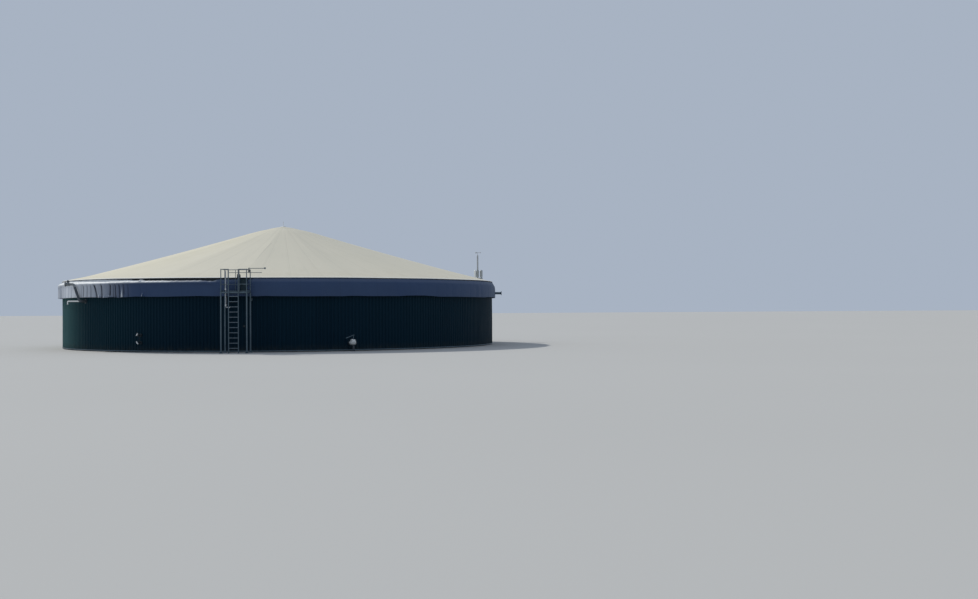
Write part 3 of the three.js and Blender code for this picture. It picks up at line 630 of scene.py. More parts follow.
def skirt_look():
    look = Look("skirt_cloth", (0.034, 0.064, 0.138), 0.6, specular=0.22)
    angle, radius, z = look.round_the_tank()
    degrees = angle * (180 / math.pi)
    turn = angle * (SKIRT_LENGTHS / (2 * math.pi))
    look.tint(look.tones(turn) * 0.25, (0.044, 0.074, 0.135))
    look.tint(look.noise(0.8, 4).span(0.35, 0.7, 0, 0.45), (0.028, 0.056, 0.126))
    streak = look.streaks(angle * 190.0, z * 0.9)
    look.tint(streak.span(0.52, 0.85, 0, 0.30), (0.085, 0.110, 0.160))
    # Painted sunlight lightens the cloth towards the sunny left, less so round the back; the cloth is also a
    # little lighter on the right.
    from_back = degrees.span(-175, -140)
    sunlight_strength = degrees.span(-115, -62, 0.45, 1.0) * degrees.span(-64, -55, 0.50, 1.0)
    painted_sunlight = degrees.span(-48.5, -25.3, 1, 0) * from_back * streak.span(0.25, 0.75, 1.0, 0.75)
    look.tint(painted_sunlight * sunlight_strength, (0.62, 0.66, 0.71))
    # Painted sunlight is brightest where the sun grazes the cloth.
    look.tint(degrees.span(-49.5, -45.5, 0.8, 0) * from_back * sunlight_strength, (0.74, 0.77, 0.82))
    look.tint(degrees.span(62, 84, 0, 0.13), (0.10, 0.16, 0.20))
    # Painted sunlight lightens the top of the rolled shoulder where the sun catches it, most on the left.
    share = degrees.span(-18, -15, 0.95, 0.42) * degrees.span(-9.2, -8.2, 1, 0.3)
    share = share + abs(degrees - LAST_ROLL_SUNLIGHT_ANGLE).span(0.5, 1.1, 0.30, 0)
    roll_sunlight = z.span(3.440, 3.530) * share * degrees.span(TUCK_START + 0.6, TUCK_START + 2.1, 1.0, 0.35)
    look.tint(roll_sunlight * look.noise(3.0, 5).span(0.2, 0.8, 0.85, 1.0), (0.68, 0.70, 0.71))
    # Painted shade darkens the creases and the cloth below the roll where it lies further in, and painted
    # sunlight lightens the flares of the hem.
    below_roll = z.span(3.38, 3.46, 1, 0)
    look.tint(below_roll * radius.span(12.49, 12.59, 0.95, 0), FOLD_SHADE)
    fallen = (ROLLED_TOP_Z - z) * (1 / (ROLLED_TOP_Z - HEM_Z))
    for crease_at, lean, depth in SEEN_CREASES:
        from_crease = abs(degrees - (fallen * lean + (crease_at - 0.5 * lean)))
        look.tint(below_roll * from_crease.span(0.06, 0.30, min(0.92, 5.5 * depth), 0), FOLD_SHADE)
    # Painted sunlight on the flares, where they stand out into the sun.
    for flare_at, reach, half_width, begins in FLARES:
        leaning = fallen.span(begins, 1.0) * flare_lean(flare_at, reach) + flare_at
        worn = abs(degrees - leaning).span(0.20 * half_width, 0.80 * half_width, 0.95, 0)
        look.tint(worn * fallen.span(begins, begins + 0.75 * (1 - begins)), (0.72, 0.76, 0.80))
    look.tint(z.span(HEM_WELD_Z - 0.02, HEM_WELD_Z + 0.02, 0.18, 0), (0.035, 0.055, 0.095))
    look.tint(look.from_seam(turn).span(0.0, 0.012, 0.3, 0), (0.022, 0.040, 0.080))
    hem = abs(z - HEM_WELD_Z).span(0.0, 0.004, 0, 1.0)
    return look.finish(streak.span(0.3, 0.8, 0.52, 0.68), look.noise(220, 2) * 0.3 + hem, 0.0012)


def cladding_look():
    look = Look("cladding_sheet", (0.0022, 0.0155, 0.029), 0.5, specular=0.06)
    angle, _, z = look.round_the_tank()
    degrees = angle * (180 / math.pi)
    turn = angle * (RIBS / RIBS_PER_SHEET / (2 * math.pi))
    look.tint(look.tones(turn) * 0.5, (0.003, 0.0195, 0.0345))
    streak = look.streaks(angle * 150.0, z * 0.5)
    look.tint(streak.span(0.5, 0.85, 0, 0.25), (0.009, 0.024, 0.034))
    look.tint(z.span(0.6, 2.8) * look.noise(0.5, 4).span(0.4, 0.7, 0, 0.3), (0.004, 0.019, 0.031))
    # Painted sunlight and sheen lighten the coating towards the sunny left, brightest where the sun grazes
    # it; it is also a little lighter on the right.
    look.tint(degrees.span(-44, -14, 0.8, 0) * degrees.span(-170, -140), (0.0052, 0.029, 0.042))
    look.tint(degrees.span(15, 70, 0, 0.3), (0.007, 0.029, 0.042))
    look.tint(degrees.span(-62, -43, 1, 0) * degrees.span(-170, -130), (0.040, 0.112, 0.116))
    # Rain throws soil up against the foot of the sheets.
    look.tint(z.span(0.05, 0.45, 1, 0) * look.noise(5.0, 6).span(0.3, 0.8, 0.1, 0.6), (0.040, 0.042, 0.036))
    look.tint(look.from_seam(turn).span(0.0, 0.006, 0.5, 0), (0.001, 0.004, 0.007))
    return look.finish(streak.span(0.3, 0.8, 0.46, 0.62), look.noise(45, 3), 0.0004)


def galvanised_look(name, color, bright, dull, metallic=0.5, roughness=0.5):
    """Hot-dip zinc: spangles, grey clouds and patches of white rust."""
    look = Look(name, color, roughness, metallic, 0.35)
    spangle, cloud = look.cells(55), look.noise(3.5, 5)
    look.tint(spangle * 0.45, bright)
    look.tint(cloud.span(0.45, 0.75, 0, 0.45), dull)
    look.tint(look.noise(14, 6, 0.7).span(0.60, 0.80, 0, 0.35), [1.25 * part for part in bright])
    # The steel is paler above the roof's edge.
    z = look.axes()[2]
    look.tint(z.span(3.60, 3.75, 0, 0.6), (0.36, 0.37, 0.36))
    polish = (cloud + spangle * 0.3).span(0.3, 1.0, roughness - 0.10, roughness + 0.14)
    return look.finish(polish, spangle + look.noise(90, 3), 0.0003)


def painted_look(name, color, worn, chipped, roughness):
    """Old paint on steel: cloudy, with small chips."""
    look = Look(name, color, roughness, specular=0.3)
    cloud = look.noise(6, 5)
    look.tint(cloud.span(0.4, 0.75, 0, 0.5), worn)
    look.tint(look.noise(38, 6, 0.7).span(0.66, 0.72, 0, 0.5), chipped)
    polish = cloud.span(0.3, 0.8, roughness - 0.07, roughness + 0.15)
    return look.finish(polish, look.noise(70, 3), 0.0003)


def white_paint_look(name, color, grimy):
    """White paint with grime in runs and a few rust spots."""
    look = Look(name, color, 0.38, specular=0.5)
    x, y, z = look.axes()
    grime = look.streaks(x * 30.0, y * 30.0, z * 4.0, roughness=0.65)
    look.tint(grime.span(0.48, 0.80, 0, grimy), (0.42, 0.41, 0.37))
    look.tint(look.noise(26, 6, 0.7).span(0.66, 0.74, 0, 1.2 * grimy), (0.26, 0.13, 0.06))
    # Rain has splashed earth on the lowest of it.
    look.tint(z.span(0.30, 0.46, 0.75, 0), (0.11, 0.12, 0.115))
    return look.finish(grime.span(0.3, 0.8, 0.34, 0.6), look.noise(60, 3), 0.0004)


def concrete_look():
    look = Look("concrete", (0.36, 0.345, 0.315), 0.88, specular=0.3)
    broad = look.noise(0.9, 5)
    look.tint(broad.span(0.35, 0.7, 0, 0.6), (0.27, 0.26, 0.235))
    look.tint(look.noise(42, 5, 0.7).span(0.62, 0.72, 0, 0.5), (0.15, 0.145, 0.135))
    return look.finish(broad.span(0.3, 0.7, 0.80, 0.93), look.noise(30, 6), 0.002)


MEMBRANE = membrane_look()
SKIRT = skirt_look()
CLADDING = cladding_look()
GALVANISED = galvanised_look(
    "galvanised_steel", (0.098, 0.140, 0.170), (0.135, 0.180, 0.212), (0.066, 0.096, 0.120),
)
RUNG_STEEL = galvanised_look("rung_steel", (0.160, 0.200, 0.235), (0.20, 0.24, 0.275), (0.115, 0.150, 0.180))
WORN_STEEL = galvanised_look("worn_steel", (0.215, 0.235, 0.245), (0.26, 0.28, 0.29), (0.16, 0.18, 0.19))
BRIGHT_STEEL = galvanised_look(
    "bright_steel", (0.40, 0.44, 0.46), (0.50, 0.53, 0.54), (0.30, 0.34, 0.36), 0.6, 0.42,
)
DARK_STEEL = painted_look(
    "dark_steel", (0.012, 0.022, 0.030), (0.026, 0.038, 0.046), (0.050, 0.050, 0.050), 0.45,
)
HATCH_GREEN = painted_look(
    "hatch_green", (0.006, 0.027, 0.040), (0.010, 0.036, 0.050), (0.030, 0.040, 0.045), 0.4,
)
# A darker copy of the galvanised steel: painted shade for the riser's leg and the drain's prop.
SHADED_GALVANISED = galvanised_look(
    "shaded_galvanised", (0.072, 0.086, 0.098), (0.098, 0.112, 0.125), (0.050, 0.060, 0.070), 0.4,
)
WHITE_PAINT = white_paint_look("white_paint", (0.74, 0.75, 0.74), 0.5)
CLEAN_WHITE = white_paint_look("clean_white", (0.86, 0.87, 0.86), 0.2)
PALE_GREY = white_paint_look("pale_grey", (0.42, 0.44, 0.46), 0.4)
CONCRETE = concrete_look()


def dress_frame():
    """The concrete and the hidden column keep their CAD shapes and get their materials."""
    for name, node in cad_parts.items():
        concrete = name == "floor_slab" or name.startswith("tank_wall")
        if concrete or name == "centre_column":
            node.data.materials.clear()
            node.data.materials.append(CONCRETE if concrete else GALVANISED)


def make_roof():
    """The membrane: one sheet from the column head to the lip over the rim ring."""
    columns = 1152
    degrees = np.arange(columns) * 360 / columns
    turn = degrees[None, :]
    inner = np.linspace(HEAD_R, BLEND_R, 24)
    outer = BLEND_R + (RIM_RING_R - BLEND_R) * np.linspace(0, 1, 56)[1:]
    radii = np.concatenate([inner, outer])[:, None]
    share = np.clip((radii - BLEND_R) / (RIM_R - BLEND_R), 0, 1)
    tip = curve_through(TIP_PROFILE, 6)
    height = np.where(radii < BLEND_R, np.interp(radii, tip[:, 0], tip[:, 1]), TIP_Z - ROOF_SLOPE * radii)
    height = height - ROOF_SAG * 4 * share * (1 - share)

    # The belts under the membrane leave faint ridges, and the cloth sags a little between them.
    bay = np.abs(((turn - BELT_OFFSET) * BELTS / 360 + 0.5) % 1 - 0.5) * 2
    depth = BELT_RIDGE * smooth_step(radii, 1.2, 5.0) * (1 - 0.75 * smooth_step(radii, 9.0, 12.3))
    height = height - depth * (1 - (1 - bay) ** 2)
    # Short faint pleats run out from the column head, and long low waves cross the slope.
    angle = np.radians(turn)
    for _ in range(14):
        waves = chance.integers(9, 34)
        phase = chance.uniform(0, 2 * math.pi)
        reach = chance.uniform(1.4, 3.6)
        size = chance.uniform(0.0004, 0.0009)
        fade = smooth_step(radii, 0.7, 1.3) * np.exp(-(radii / reach) ** 1.5)
        height = height + size * np.sin(waves * angle + phase) * fade * radii
    for _ in range(10):
        waves = chance.integers(3, 13)
        phase = chance.uniform(0, 2 * math.pi)
        twist = chance.uniform(-0.25, 0.25)
        height = height + 0.004 * np.sin(waves * angle + phase + twist * radii) * share
    lift = table_value((turn + 180) % 360 - 180, RIM_LIFT)
    height = height + lift * smooth_step(radii, 11.0, 12.3)
    # The lip curves over the rim ring and turns back under it.
    unevenness = 0.35 * (height[-1:, :] - lift - (height[-1:, :] - lift).mean()) + lift
    slope_radii = np.broadcast_to(radii, height.shape)
    radius = np.concatenate([slope_radii] + [np.full((1, columns), lip_r) for lip_r, _ in LIP])
    height = np.concatenate([height] + [z + unevenness for _, z in LIP])
    gores = [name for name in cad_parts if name.startswith("roof_gore")]
    roof = grid_piece("membrane_roof", degrees, radius, height, MEMBRANE, gores, wrap=True)


def make_apex():
    """The clamp plate on the column head with its bolts, and the short finial."""
    shape = Shape()
    top = Vector((0, 0, HEAD_TOP_Z))
    plate = [(-0.02, 0.175), (0.012, 0.18), (0.018, 0.174), (0.024, 0.10), (0.05, 0.045), (0.07, 0.03)]
    shape.turned(top, UP, plate, 48)
    shape.bolt_ring(top + UP * 0.016, UP, 0.14, 12, 0.024)
    long = FINIAL_TOP_Z - HEAD_TOP_Z
    shape.turned(top, UP, [(0.06, 0.012), (long - 0.03, 0.012), (long - 0.026, 0.018), (long, 0.014)], 20)
    build("apex_clamp", shape, WHITE_PAINT, "galvanised_steel", "roof_apex_cap")


def make_rim_rail():
    """The clamp rail in the gap under the roof's edge, bolted all round; its dark paint also stands in for
    the shade in the gap.
    """
    shape = Shape()
    inside, back, front = 12.25, 12.33, 12.415
    foot, ledge, top = 3.545, 3.557, 3.665
    shape.hoop([(inside, foot), (front, foot), (front, ledge), (back, ledge), (back, top), (inside, top)])
    count = 260
    for i in range(count):
        angle = 360 * (i + 0.5) / count
        shape.bolt(polar(angle, back, 3.625), polar(angle, 1, 0), 0.022)
    build("roof_clamp_rail", shape, DARK_STEEL, "dark_steel")


def curve_through(points, per_span):
    """A smooth line through points, with that many steps on each span between two of them."""
    points = np.array(points, float)
    padded = np.concatenate([2 * points[:1] - points[1:2], points, 2 * points[-1:] - points[-2:-1]])
    line = []
    for a, b, c, d in zip(padded, padded[1:], padded[2:], padded[3:]):
        curving, turning = 2 * a - 5 * b + 4 * c - d, 3 * b - a - 3 * c + d
        for t in np.arange(per_span) / per_span:
            line.append(0.5 * (2 * b + (c - a) * t + curving * t ** 2 + turning * t ** 3))
    line.append(points[-1])
    return np.array(line)


def random_waves(count, fewest, most, drift):
    """Waves round the tank: how many to a turn, their phase, and how far it drifts down the sheet."""
    waves = []
    for _ in range(count):
        waves.append((chance.integers(fewest, most), chance.uniform(0, 6.28), chance.uniform(-drift, drift)))
    return waves


def skirt_creases():
    """The angles of all the creases round the tank, their leans and depths, and the fullness between."""
    first, last = SEEN_CREASES[0][0] - 1.2, SEEN_CREASES[-1][0] + 1.5
    creases = list(SEEN_CREASES)
    angle = -180.0
    while angle < 177.0:
        pleated = PLEATED_FROM < angle < PLEATED_TO
        angle += chance.uniform(1.1, 2.5) if pleated else chance.uniform(2.2, 6.0)
        lean = chance.uniform(-0.45, 0.45)
        depth = chance.uniform(0.015, 0.060) if pleated else chance.uniform(0.001, 0.005)
        if not first < angle < last:
            creases.append((angle, lean, depth))
    creases = np.array(sorted(creases))
    return creases, chance.uniform(0.2, 1.5, len(creases) + 1)


def skirt_folds(turn, drop, creases, fullness, belly):
    """How far one row of the cloth stands out: it bellies between creases and folds back at each."""
    edges = creases[:, 0] + creases[:, 1] * (drop - 0.5)
    order = np.argsort(edges)
    edges = np.concatenate([[edges[order[-1]] - 360], edges[order], [edges[order[0]] + 360]])
    depths = creases[order, 2]
    depths = np.concatenate([depths[-1:], depths, depths[:1]])
    bay = np.clip(np.searchsorted(edges, turn) - 1, 0, len(edges) - 2)
    wide = edges[bay + 1] - edges[bay]
    across = np.clip((turn - edges[bay]) / wide, 0, 1)
    full = fullness[bay] * np.clip(wide / 2.0, 0.4, 1.6)
    out = belly * (full * np.sin(math.pi * across) ** 0.75 - 0.45)
    for end, share in ((0, across), (1, 1 - across)):
        away = share * np.radians(wide) * SKIRT_R / CREASE_WIDTH
        out -= depths[bay + end] * np.exp(-away ** 2)
    return out


def skirt_shoulder(turn, rolled, tucked, waves):
    """The radius and height of the cloth before its folds: rolled on the left, tucked in on the right."""
    tuck = smooth_step(turn, TUCK_START, TUCK_START + TUCK_WIDTH) * (1 - smooth_step(turn, 176, 178))
    # The top of the cloth follows the batten's height.
    tops = []
    for profile, table in ((rolled, ROLL_TOP), (tucked, TUCKED_TOP)):
        shift = table_value(turn, table) - profile[:, 1].max()
        tops.append(profile[:, 1:] + shift * smooth_step(profile[:, 1:], 3.28, 3.50))
    radius = rolled[:, :1] * (1 - tuck) + tucked[:, :1] * tuck
    height = tops[0] * (1 - tuck) + tops[1] * tuck
    behind = (1 - smooth_step(radius, 12.405, 12.47)) * (1 - tuck)
    height = height + np.maximum(table_value(turn, BEHIND_ROLL) - height, 0) * behind
    fall = np.clip((ROLLED_TOP_Z - height) / (ROLLED_TOP_Z - HEM_Z), 0, 1)
    shoulder = 1 - smooth_step(fall, 0.05, 0.20)
    knot_at, knot_rise, knot_width = ROLL_KNOT
    height = height + knot_rise * shoulder * np.exp(-((turn - knot_at) / knot_width) ** 2)
    for count, phase, _ in waves:
        height = height + 0.0022 * shoulder * (1 - tuck) * np.sin(2 * count * np.radians(turn) + 2 * phase)
    return radius, height, fall


def make_skirt():
    """Four lengths of weather cloth that hang from the clamp rail over a batten to their hem."""
    creases, fullness = skirt_creases()
    rolled, tucked = curve_through(ROLLED, 4), curve_through(TUCKED, 4)
    columns = 1081
    waves = random_waves(12, 20, 160, 4)
    for side, quarter in enumerate(SIDES):
        degrees = side * 90 - 45 + np.linspace(0, 90, columns)
        turn = (degrees + 180) % 360 - 180
        radius, height, fall = skirt_shoulder(turn, rolled, tucked, waves)
        # Between creases the cloth bellies out, and at each crease it folds back sharply.
        hanging = smooth_step(fall, 0.12, 0.26)
        pleated = smooth_step(turn, PLEATED_FROM, PLEATED_FROM + 14) * (1 - smooth_step(turn, -38, -25))
        belly = 0.004 + 0.046 * pleated
        out = np.array([skirt_folds(turn, row.mean(), creases, fullness, belly) for row in fall])
        radius = radius + out * hanging * (0.8 + 0.35 * smooth_step(fall, 0.7, 1.0))
        for count, phase, drift in waves:
            ripple = np.sin(count * np.radians(turn) + phase + drift * fall)
            radius = radius + (0.0006 + 0.0016 * pleated) * ripple * hanging
        rise = 0.0
        for angle, reach, half_width, begins in FLARES:
            grown = smooth_step(fall, begins, 1.0)
            spread = half_width * (0.45 + 0.75 * grown)
            middle_at = angle + flare_lean(angle, reach) * grown
            flare = np.exp(-((turn - middle_at) / spread) ** 2) * grown
            radius = radius + reach * flare
            rise = rise + 0.10 * reach * flare
        radius = np.where(fall > 0.12, np.maximum(radius, INNERMOST_R), radius)
        lift = table_value(turn, HEM_LIFT)
        for count, phase, _ in waves[:6]:
            lift = lift + 0.0020 * np.sin((count // 3) * np.radians(turn) + phase)
        height = height + smooth_step(fall, 0.60, 1.0) * lift + rise
        name, replaced = f"skirt_cloth_{quarter}", [f"skirt_{quarter}"]
        piece = grid_piece(name, degrees, radius, height, SKIRT, replaced)


def make_cladding():
    """Ribbed sheeting, a run for each quarter."""
    pitch = 360 / RIBS
    ribs = RIBS // 4
    rows = 8
    heights = np.linspace(CLAD_BOTTOM_Z, CLAD_TOP_Z, rows)[:, None]
    waves = random_waves(6, 11, 60, 3)
    out = np.array([out for _, out in RIB_PROFILE] * ribs + [0.0])
    for side, name in enumerate(SIDES):
        start = side * 90 - 45
        degrees = [start + (rib + share) * pitch for rib in range(ribs) for share, _ in RIB_PROFILE]
        degrees = np.array(degrees + [start + 90])
        radius = np.broadcast_to(RIB_TROUGH_R + (RIB_CREST_R - RIB_TROUGH_R) * out, (rows, len(out))).copy()
        for count, phase, drift in waves:
            radius += 0.0009 * np.sin(count * np.radians(degrees) + phase + drift * heights)
        height = np.broadcast_to(heights, radius.shape)
        grid_piece(
            f"ribbed_cladding_{name}", degrees, radius, height, CLADDING,
            [f"cladding_{name}"], sharp=25,
        )


def make_cladding_trim():
    """Screws on every other rib, and the base rail that the sheets stand on."""
    screws = Shape()
    pitch = 360 / RIBS
    for rib in range(0, RIBS, 2):
        angle = -45 + (rib + 0.5) * pitch
        for z in (0.16, 1.30, 2.42):
            at, outward = polar(angle, RIB_CREST_R - 0.001, z), polar(angle, 1, 0)
            screws.turned(at, outward, [(0, 0.011), (0.002, 0.011)], 10)
            screws.turned(at, outward, [(0.002, 0.0068), (0.0075, 0.006)], 6)
    build("cladding_screws", screws, CLADDING, "cladding_sheet")
    rail = Shape()
    back, front, lip = 12.262, 12.420, 0.004
    bottom, floor, top = 0.040, 0.046, 0.086
    ledge = [(front, bottom), (front, top), (front - lip, top), (front - lip, floor)]
    rail.hoop([(back, bottom)] + ledge + [(back, floor)])
    build("cladding_base_rail", rail, GALVANISED, "galvanised_steel")


def collar(shape, degrees, z, pipe_radius, rivets=8):
    """A sealing collar round a pipe where it leaves the sheeting."""
    outward = polar(degrees, 1, 0)
    reach = 1.55 * pipe_radius + 0.028
    at = polar(degrees, RIB_CREST_R, z)
    sleeve = [(0.010, pipe_radius * 1.2), (0.022, pipe_radius * 1.05)]
    shape.turned(at, outward, [(-0.03, reach), (0.004, reach), (0.007, reach - 0.003)] + sleeve, 36)
    shape.bolt_ring(at + outward * 0.004, outward, reach - 0.014, rivets, 0.011)


def wall_axes(degrees):
    """The way out of the wall at an angle from the front, and the level way along it."""
    outward = polar(degrees, 1, 0)
    return outward, Vector((-outward.y, outward.x, 0))


def square_bar(shape, x, y, size, z0, z1, chamfer=0.005):
    """An upright square bar centred on x and y."""
    half = size / 2
    shape.box((x - half, y - half, z0), (x + half, y + half, z1), chamfer)


def foot_plate(shape, x, y, z, size, thickness, bolt_size):
    """A square plate with an anchor bolt in each corner."""
    square_bar(shape, x, y, size, z, z + thickness, 0.002)
    reach = size / 2 - 1.1 * bolt_size / 2 - 0.009
    top, stud = z + thickness, 0.022
    for a, b in itertools.product((-reach, reach), repeat=2):
        shape.bolt((x + a, y + b, top), UP, bolt_size)
        shape.rod((x + a, y + b, top), (x + a, y + b, top + stud), 0.25 * bolt_size, 10)


def gussets(shape, x, y, z, post, run, rise, sides=((1, 0), (-1, 0), (0, 1), (0, -1))):
    """Small triangular plates in the corners between a post and its base."""
    for sign_x, sign_y in sides:
        out = Vector((sign_x, sign_y, 0))
        half = Vector((sign_y, sign_x, 0)) * 0.003
        foot = Vector((x, y, z)) + out * (post / 2)
        corners = [foot, foot + out * run, foot + out * run + UP * 0.008, foot + UP * rise]
        shape.loft([[c - half for c in corners], [c + half for c in corners]])


def make_posts():
    """The four corner posts on their base plates, thinner beside the rails, the rear ones tied back."""
    for name, x, y in (
        ("front_left", LEFT_X, FRONT_Y),
        ("front_right", RIGHT_X, FRONT_Y),
        ("rear_left", LEFT_X, REAR_Y),
        ("rear_right", RIGHT_X, REAR_Y),
    ):
        shape = Shape()
        foot_plate(shape, x, y, 0, 0.16, 0.012, 0.024)
        gussets(shape, x, y, 0.012, POST, 0.045, 0.07)
        square_bar(shape, x, y, POST, 0.010, DECK_TOP_Z)
        square_bar(shape, x, y, RAIL_POST, DECK_TOP_Z, POST_TOP_Z - 0.004)
        square_bar(shape, x, y, RAIL_POST + 0.004, POST_TOP_Z - 0.004, POST_TOP_Z + 0.001, 0.001)
        if name.startswith("rear"):
            wall_y = -math.sqrt(RIB_CREST_R ** 2 - x ** 2)
            face_y = wall_y - 0.010
            tie, plate_x, plate_z = 0.025, 0.034, 0.075
            shape.box((x - tie, y, TIE_Z - tie), (x + tie, wall_y - 0.006, TIE_Z + tie), 0.004)
            low, high = (x - plate_x, face_y, TIE_Z - plate_z), (x + plate_x, wall_y + 0.02, TIE_Z + plate_z)
            shape.box(low, high, 0.002)
            for rise in (-0.052, 0.052):
                shape.bolt((x, face_y, TIE_Z + rise), (0, -1, 0), 0.022)
            outside = 1 if x > 0 else -1
            for back in (0.04, 0.11):
                shape.bolt((x + outside * tie, y + back, TIE_Z), (outside, 0, 0), 0.018)
        build(f"post_{name}_steel", shape, GALVANISED, "galvanised_steel", f"post_{name}")


def make_deck():
    """Open grating in a frame of flat bar, carried by angles between the posts."""
    half = POST / 2
    bars = Shape()
    thick = 0.008
    x0, x1, y0, y1 = LEFT_X + half, RIGHT_X - half, FRONT_Y - half, REAR_Y + half
    side_y0, side_y1 = FRONT_Y + half, REAR_Y - half
    outer_x0, outer_x1 = LEFT_X - half, RIGHT_X + half
    low, high = DECK_BOTTOM_Z, DECK_TOP_Z
    bars.box((x0, y0, low), (x1, y0 + thick, high), 0.002)
    bars.box((x0, y1 - thick, low), (x1, y1, high), 0.002)
    bars.box((outer_x0, side_y0, low), (outer_x0 + thick, side_y1, high), 0.002)
    bars.box((outer_x1 - thick, side_y0, low), (outer_x1, side_y1, high), 0.002)
    for x in (LEFT_X + 0.26, RIGHT_X - 0.26):
        bars.box((x - 0.02, y0 + thick, low), (x + 0.02, y1 - thick, low + 0.022), 0.002)
    for x in (LEFT_X + 0.10, RIGHT_X - 0.10):
        for y, out in ((y0, -1), (y1, 1)):
            bars.bolt((x, y, high - 0.03), (0, out, 0), 0.02)
    build("deck_frame", bars, GALVANISED, "galvanised_steel", "platform_deck")

    grating = Shape()
    bar, chamfer = 0.003, 0.0004
    bottom, top = high - 0.032, high - 0.002
    count = int((x1 - x0) / GRATING_PITCH)
    for i in range(1, count + 1):
        x = x0 + i * (x1 - x0) / (count + 1)
        grating.box((x - bar / 2, y0 + thick, bottom), (x + bar / 2, y1 - thick, top), chamfer)
    for side_x0, side_x1 in ((outer_x0 + thick, x0), (x1, outer_x1 - thick)):
        for x in (side_x0, side_x1 - bar):
            grating.box((x, side_y0, bottom), (x + bar, side_y1, top), chamfer)
    rows = 12
    for i in range(1, rows):
        y = y0 + i * (y1 - y0) / rows
        beside_post = y < side_y0 or y > side_y1
        start, end = (x0, x1) if beside_post else (outer_x0 + thick, outer_x1 - thick)
        grating.rod((start, y, high - 0.006), (end, y, high - 0.006), 0.0035, 8)
    build("deck_grating", grating, GALVANISED, "galvanised_steel")


def rail_panel(name, start, end, uprights=(), toe_board=True):
    """A guard-rail panel: a tube top rail, a thinner knee rail, uprights, flat end straps, a toe board."""
    start, end = Vector((*start, 0)), Vector((*end, 0))
    along = (end - start).normalized()
    r = RAIL / 2
    across = Vector((-along.y, along.x, 0)) * r
    top = POST_TOP_Z - r
    shape = Shape()
    low, high = UP * (DECK_TOP_Z + 0.002), UP * (POST_TOP_Z - 0.003)
    for at, inward in ((start, along), (end, -along)):
        inner = at + inward * END_STRAP
        corners = [at + across, at - across, inner - across, inner + across]
        shape.loft([[corner + low for corner in corners], [corner + high for corner in corners]])
        for z in (KNEE_RAIL_Z - 0.06, KNEE_RAIL_Z + 0.36, POST_TOP_Z - 0.09):
            shape.bolt(inner + UP * z, inward, 0.016)
    left, right = start + along * (END_STRAP / 2), end - along * (END_STRAP / 2)
    shape.rod(left + UP * top, right + UP * top, r, 16)
    shape.rod(left + UP * KNEE_RAIL_Z, right + UP * KNEE_RAIL_Z, KNEE_RAIL / 2, 14)
    for x in uprights:
        shape.rod((x, start.y, DECK_TOP_Z), (x, start.y, top), r * 0.9, 14)
    if toe_board:
        face = across.normalized() * 0.004
        low, high = UP * (DECK_TOP_Z + 0.004), UP * (DECK_TOP_Z + TOE_BOARD)
        ends = start + along * 0.004, end - along * 0.004
        shape.loft([[at + face + low, at - face + low, at - face + high, at + face + high] for at in ends])
        for at in (ends[0] + along * 0.07, ends[1] - along * 0.07):
            for z in (0.028, TOE_BOARD - 0.024):
                shape.bolt(at + face + UP * (DECK_TOP_Z + z), face, 0.016)
    build(f"{name}_tubes", shape, GALVANISED, "galvanised_steel", name)


def make_rails():
    edge = RAIL_POST / 2
    gate_left, gate_right = LADDER_LOW.x, LADDER_HIGH.x
    left, right = [gate_left - RAIL / 2], [gate_right + RAIL / 2]
    rail_panel("guard_rail_left", (LEFT_X, FRONT_Y + edge), (LEFT_X, REAR_Y - edge))
    rail_panel("guard_rail_right", (RIGHT_X, REAR_Y - edge), (RIGHT_X, FRONT_Y + edge))
    rail_panel("guard_rail_rear", (RIGHT_X - edge, REAR_Y), (LEFT_X + edge, REAR_Y), [REAR_UPRIGHT_X])
    rail_panel("guard_rail_front_left", (LEFT_X + edge, FRONT_Y), (gate_left, FRONT_Y), left, False)
    rail_panel("guard_rail_front_right", (gate_right, FRONT_Y), (RIGHT_X - edge, FRONT_Y), right, False)


def make_ladder():
    """Two tube stiles that run on up beside the gap in the rails, with round rungs between."""
    shape = Shape()
    y0, y1 = LADDER_LOW.y, LADDER_HIGH.y
    y = (y0 + y1) / 2
    stiles = [LADDER_LOW.x, LADDER_HIGH.x - STILE_WIDTH]
    foot = 0.008
    for x in stiles:
        shape.box((x, y0, foot), (x + STILE_WIDTH, y1, POST_TOP_Z - 0.006), 0.006)
        shape.box((x - 0.03, y0, 0), (x + STILE_WIDTH + 0.03, y1 + 0.02, foot), 0.002)
        for side in (-0.016, STILE_WIDTH + 0.016):
            shape.bolt((x + side, y, foot), UP, 0.018)
        # A cleat holds the stile to the deck, and another to the top rail.
        for z in (DECK_TOP_Z - 0.03, POST_TOP_Z - 0.05):
            shape.box((x + 0.006, y1, z - 0.02), (x + STILE_WIDTH - 0.006, y1 + 0.018, z + 0.02), 0.002)
            shape.bolt((x + STILE_WIDTH / 2, y0, z), (0, -1, 0), 0.018)
    build("ladder_stiles", shape, GALVANISED, "galvanised_steel", "ladder")
    left, right = stiles[0] + STILE_WIDTH, stiles[1]
    rungs = Shape()
    weld = [(0, RUNG_R + 0.004), (0.003, RUNG_R + 0.002), (0.006, RUNG_R)]
    z = RUNG_FIRST_Z
    while z < DECK_TOP_Z - 0.05:
        rungs.rod((left, y, z), (right, y, z), RUNG_R, 14)
        for x, out in ((left, 1), (right, -1)):
            rungs.turned((x, y, z), (out, 0, 0), weld, 14)
        z += RUNG_PITCH
    build("ladder_rungs", rungs, RUNG_STEEL, "galvanised_steel")


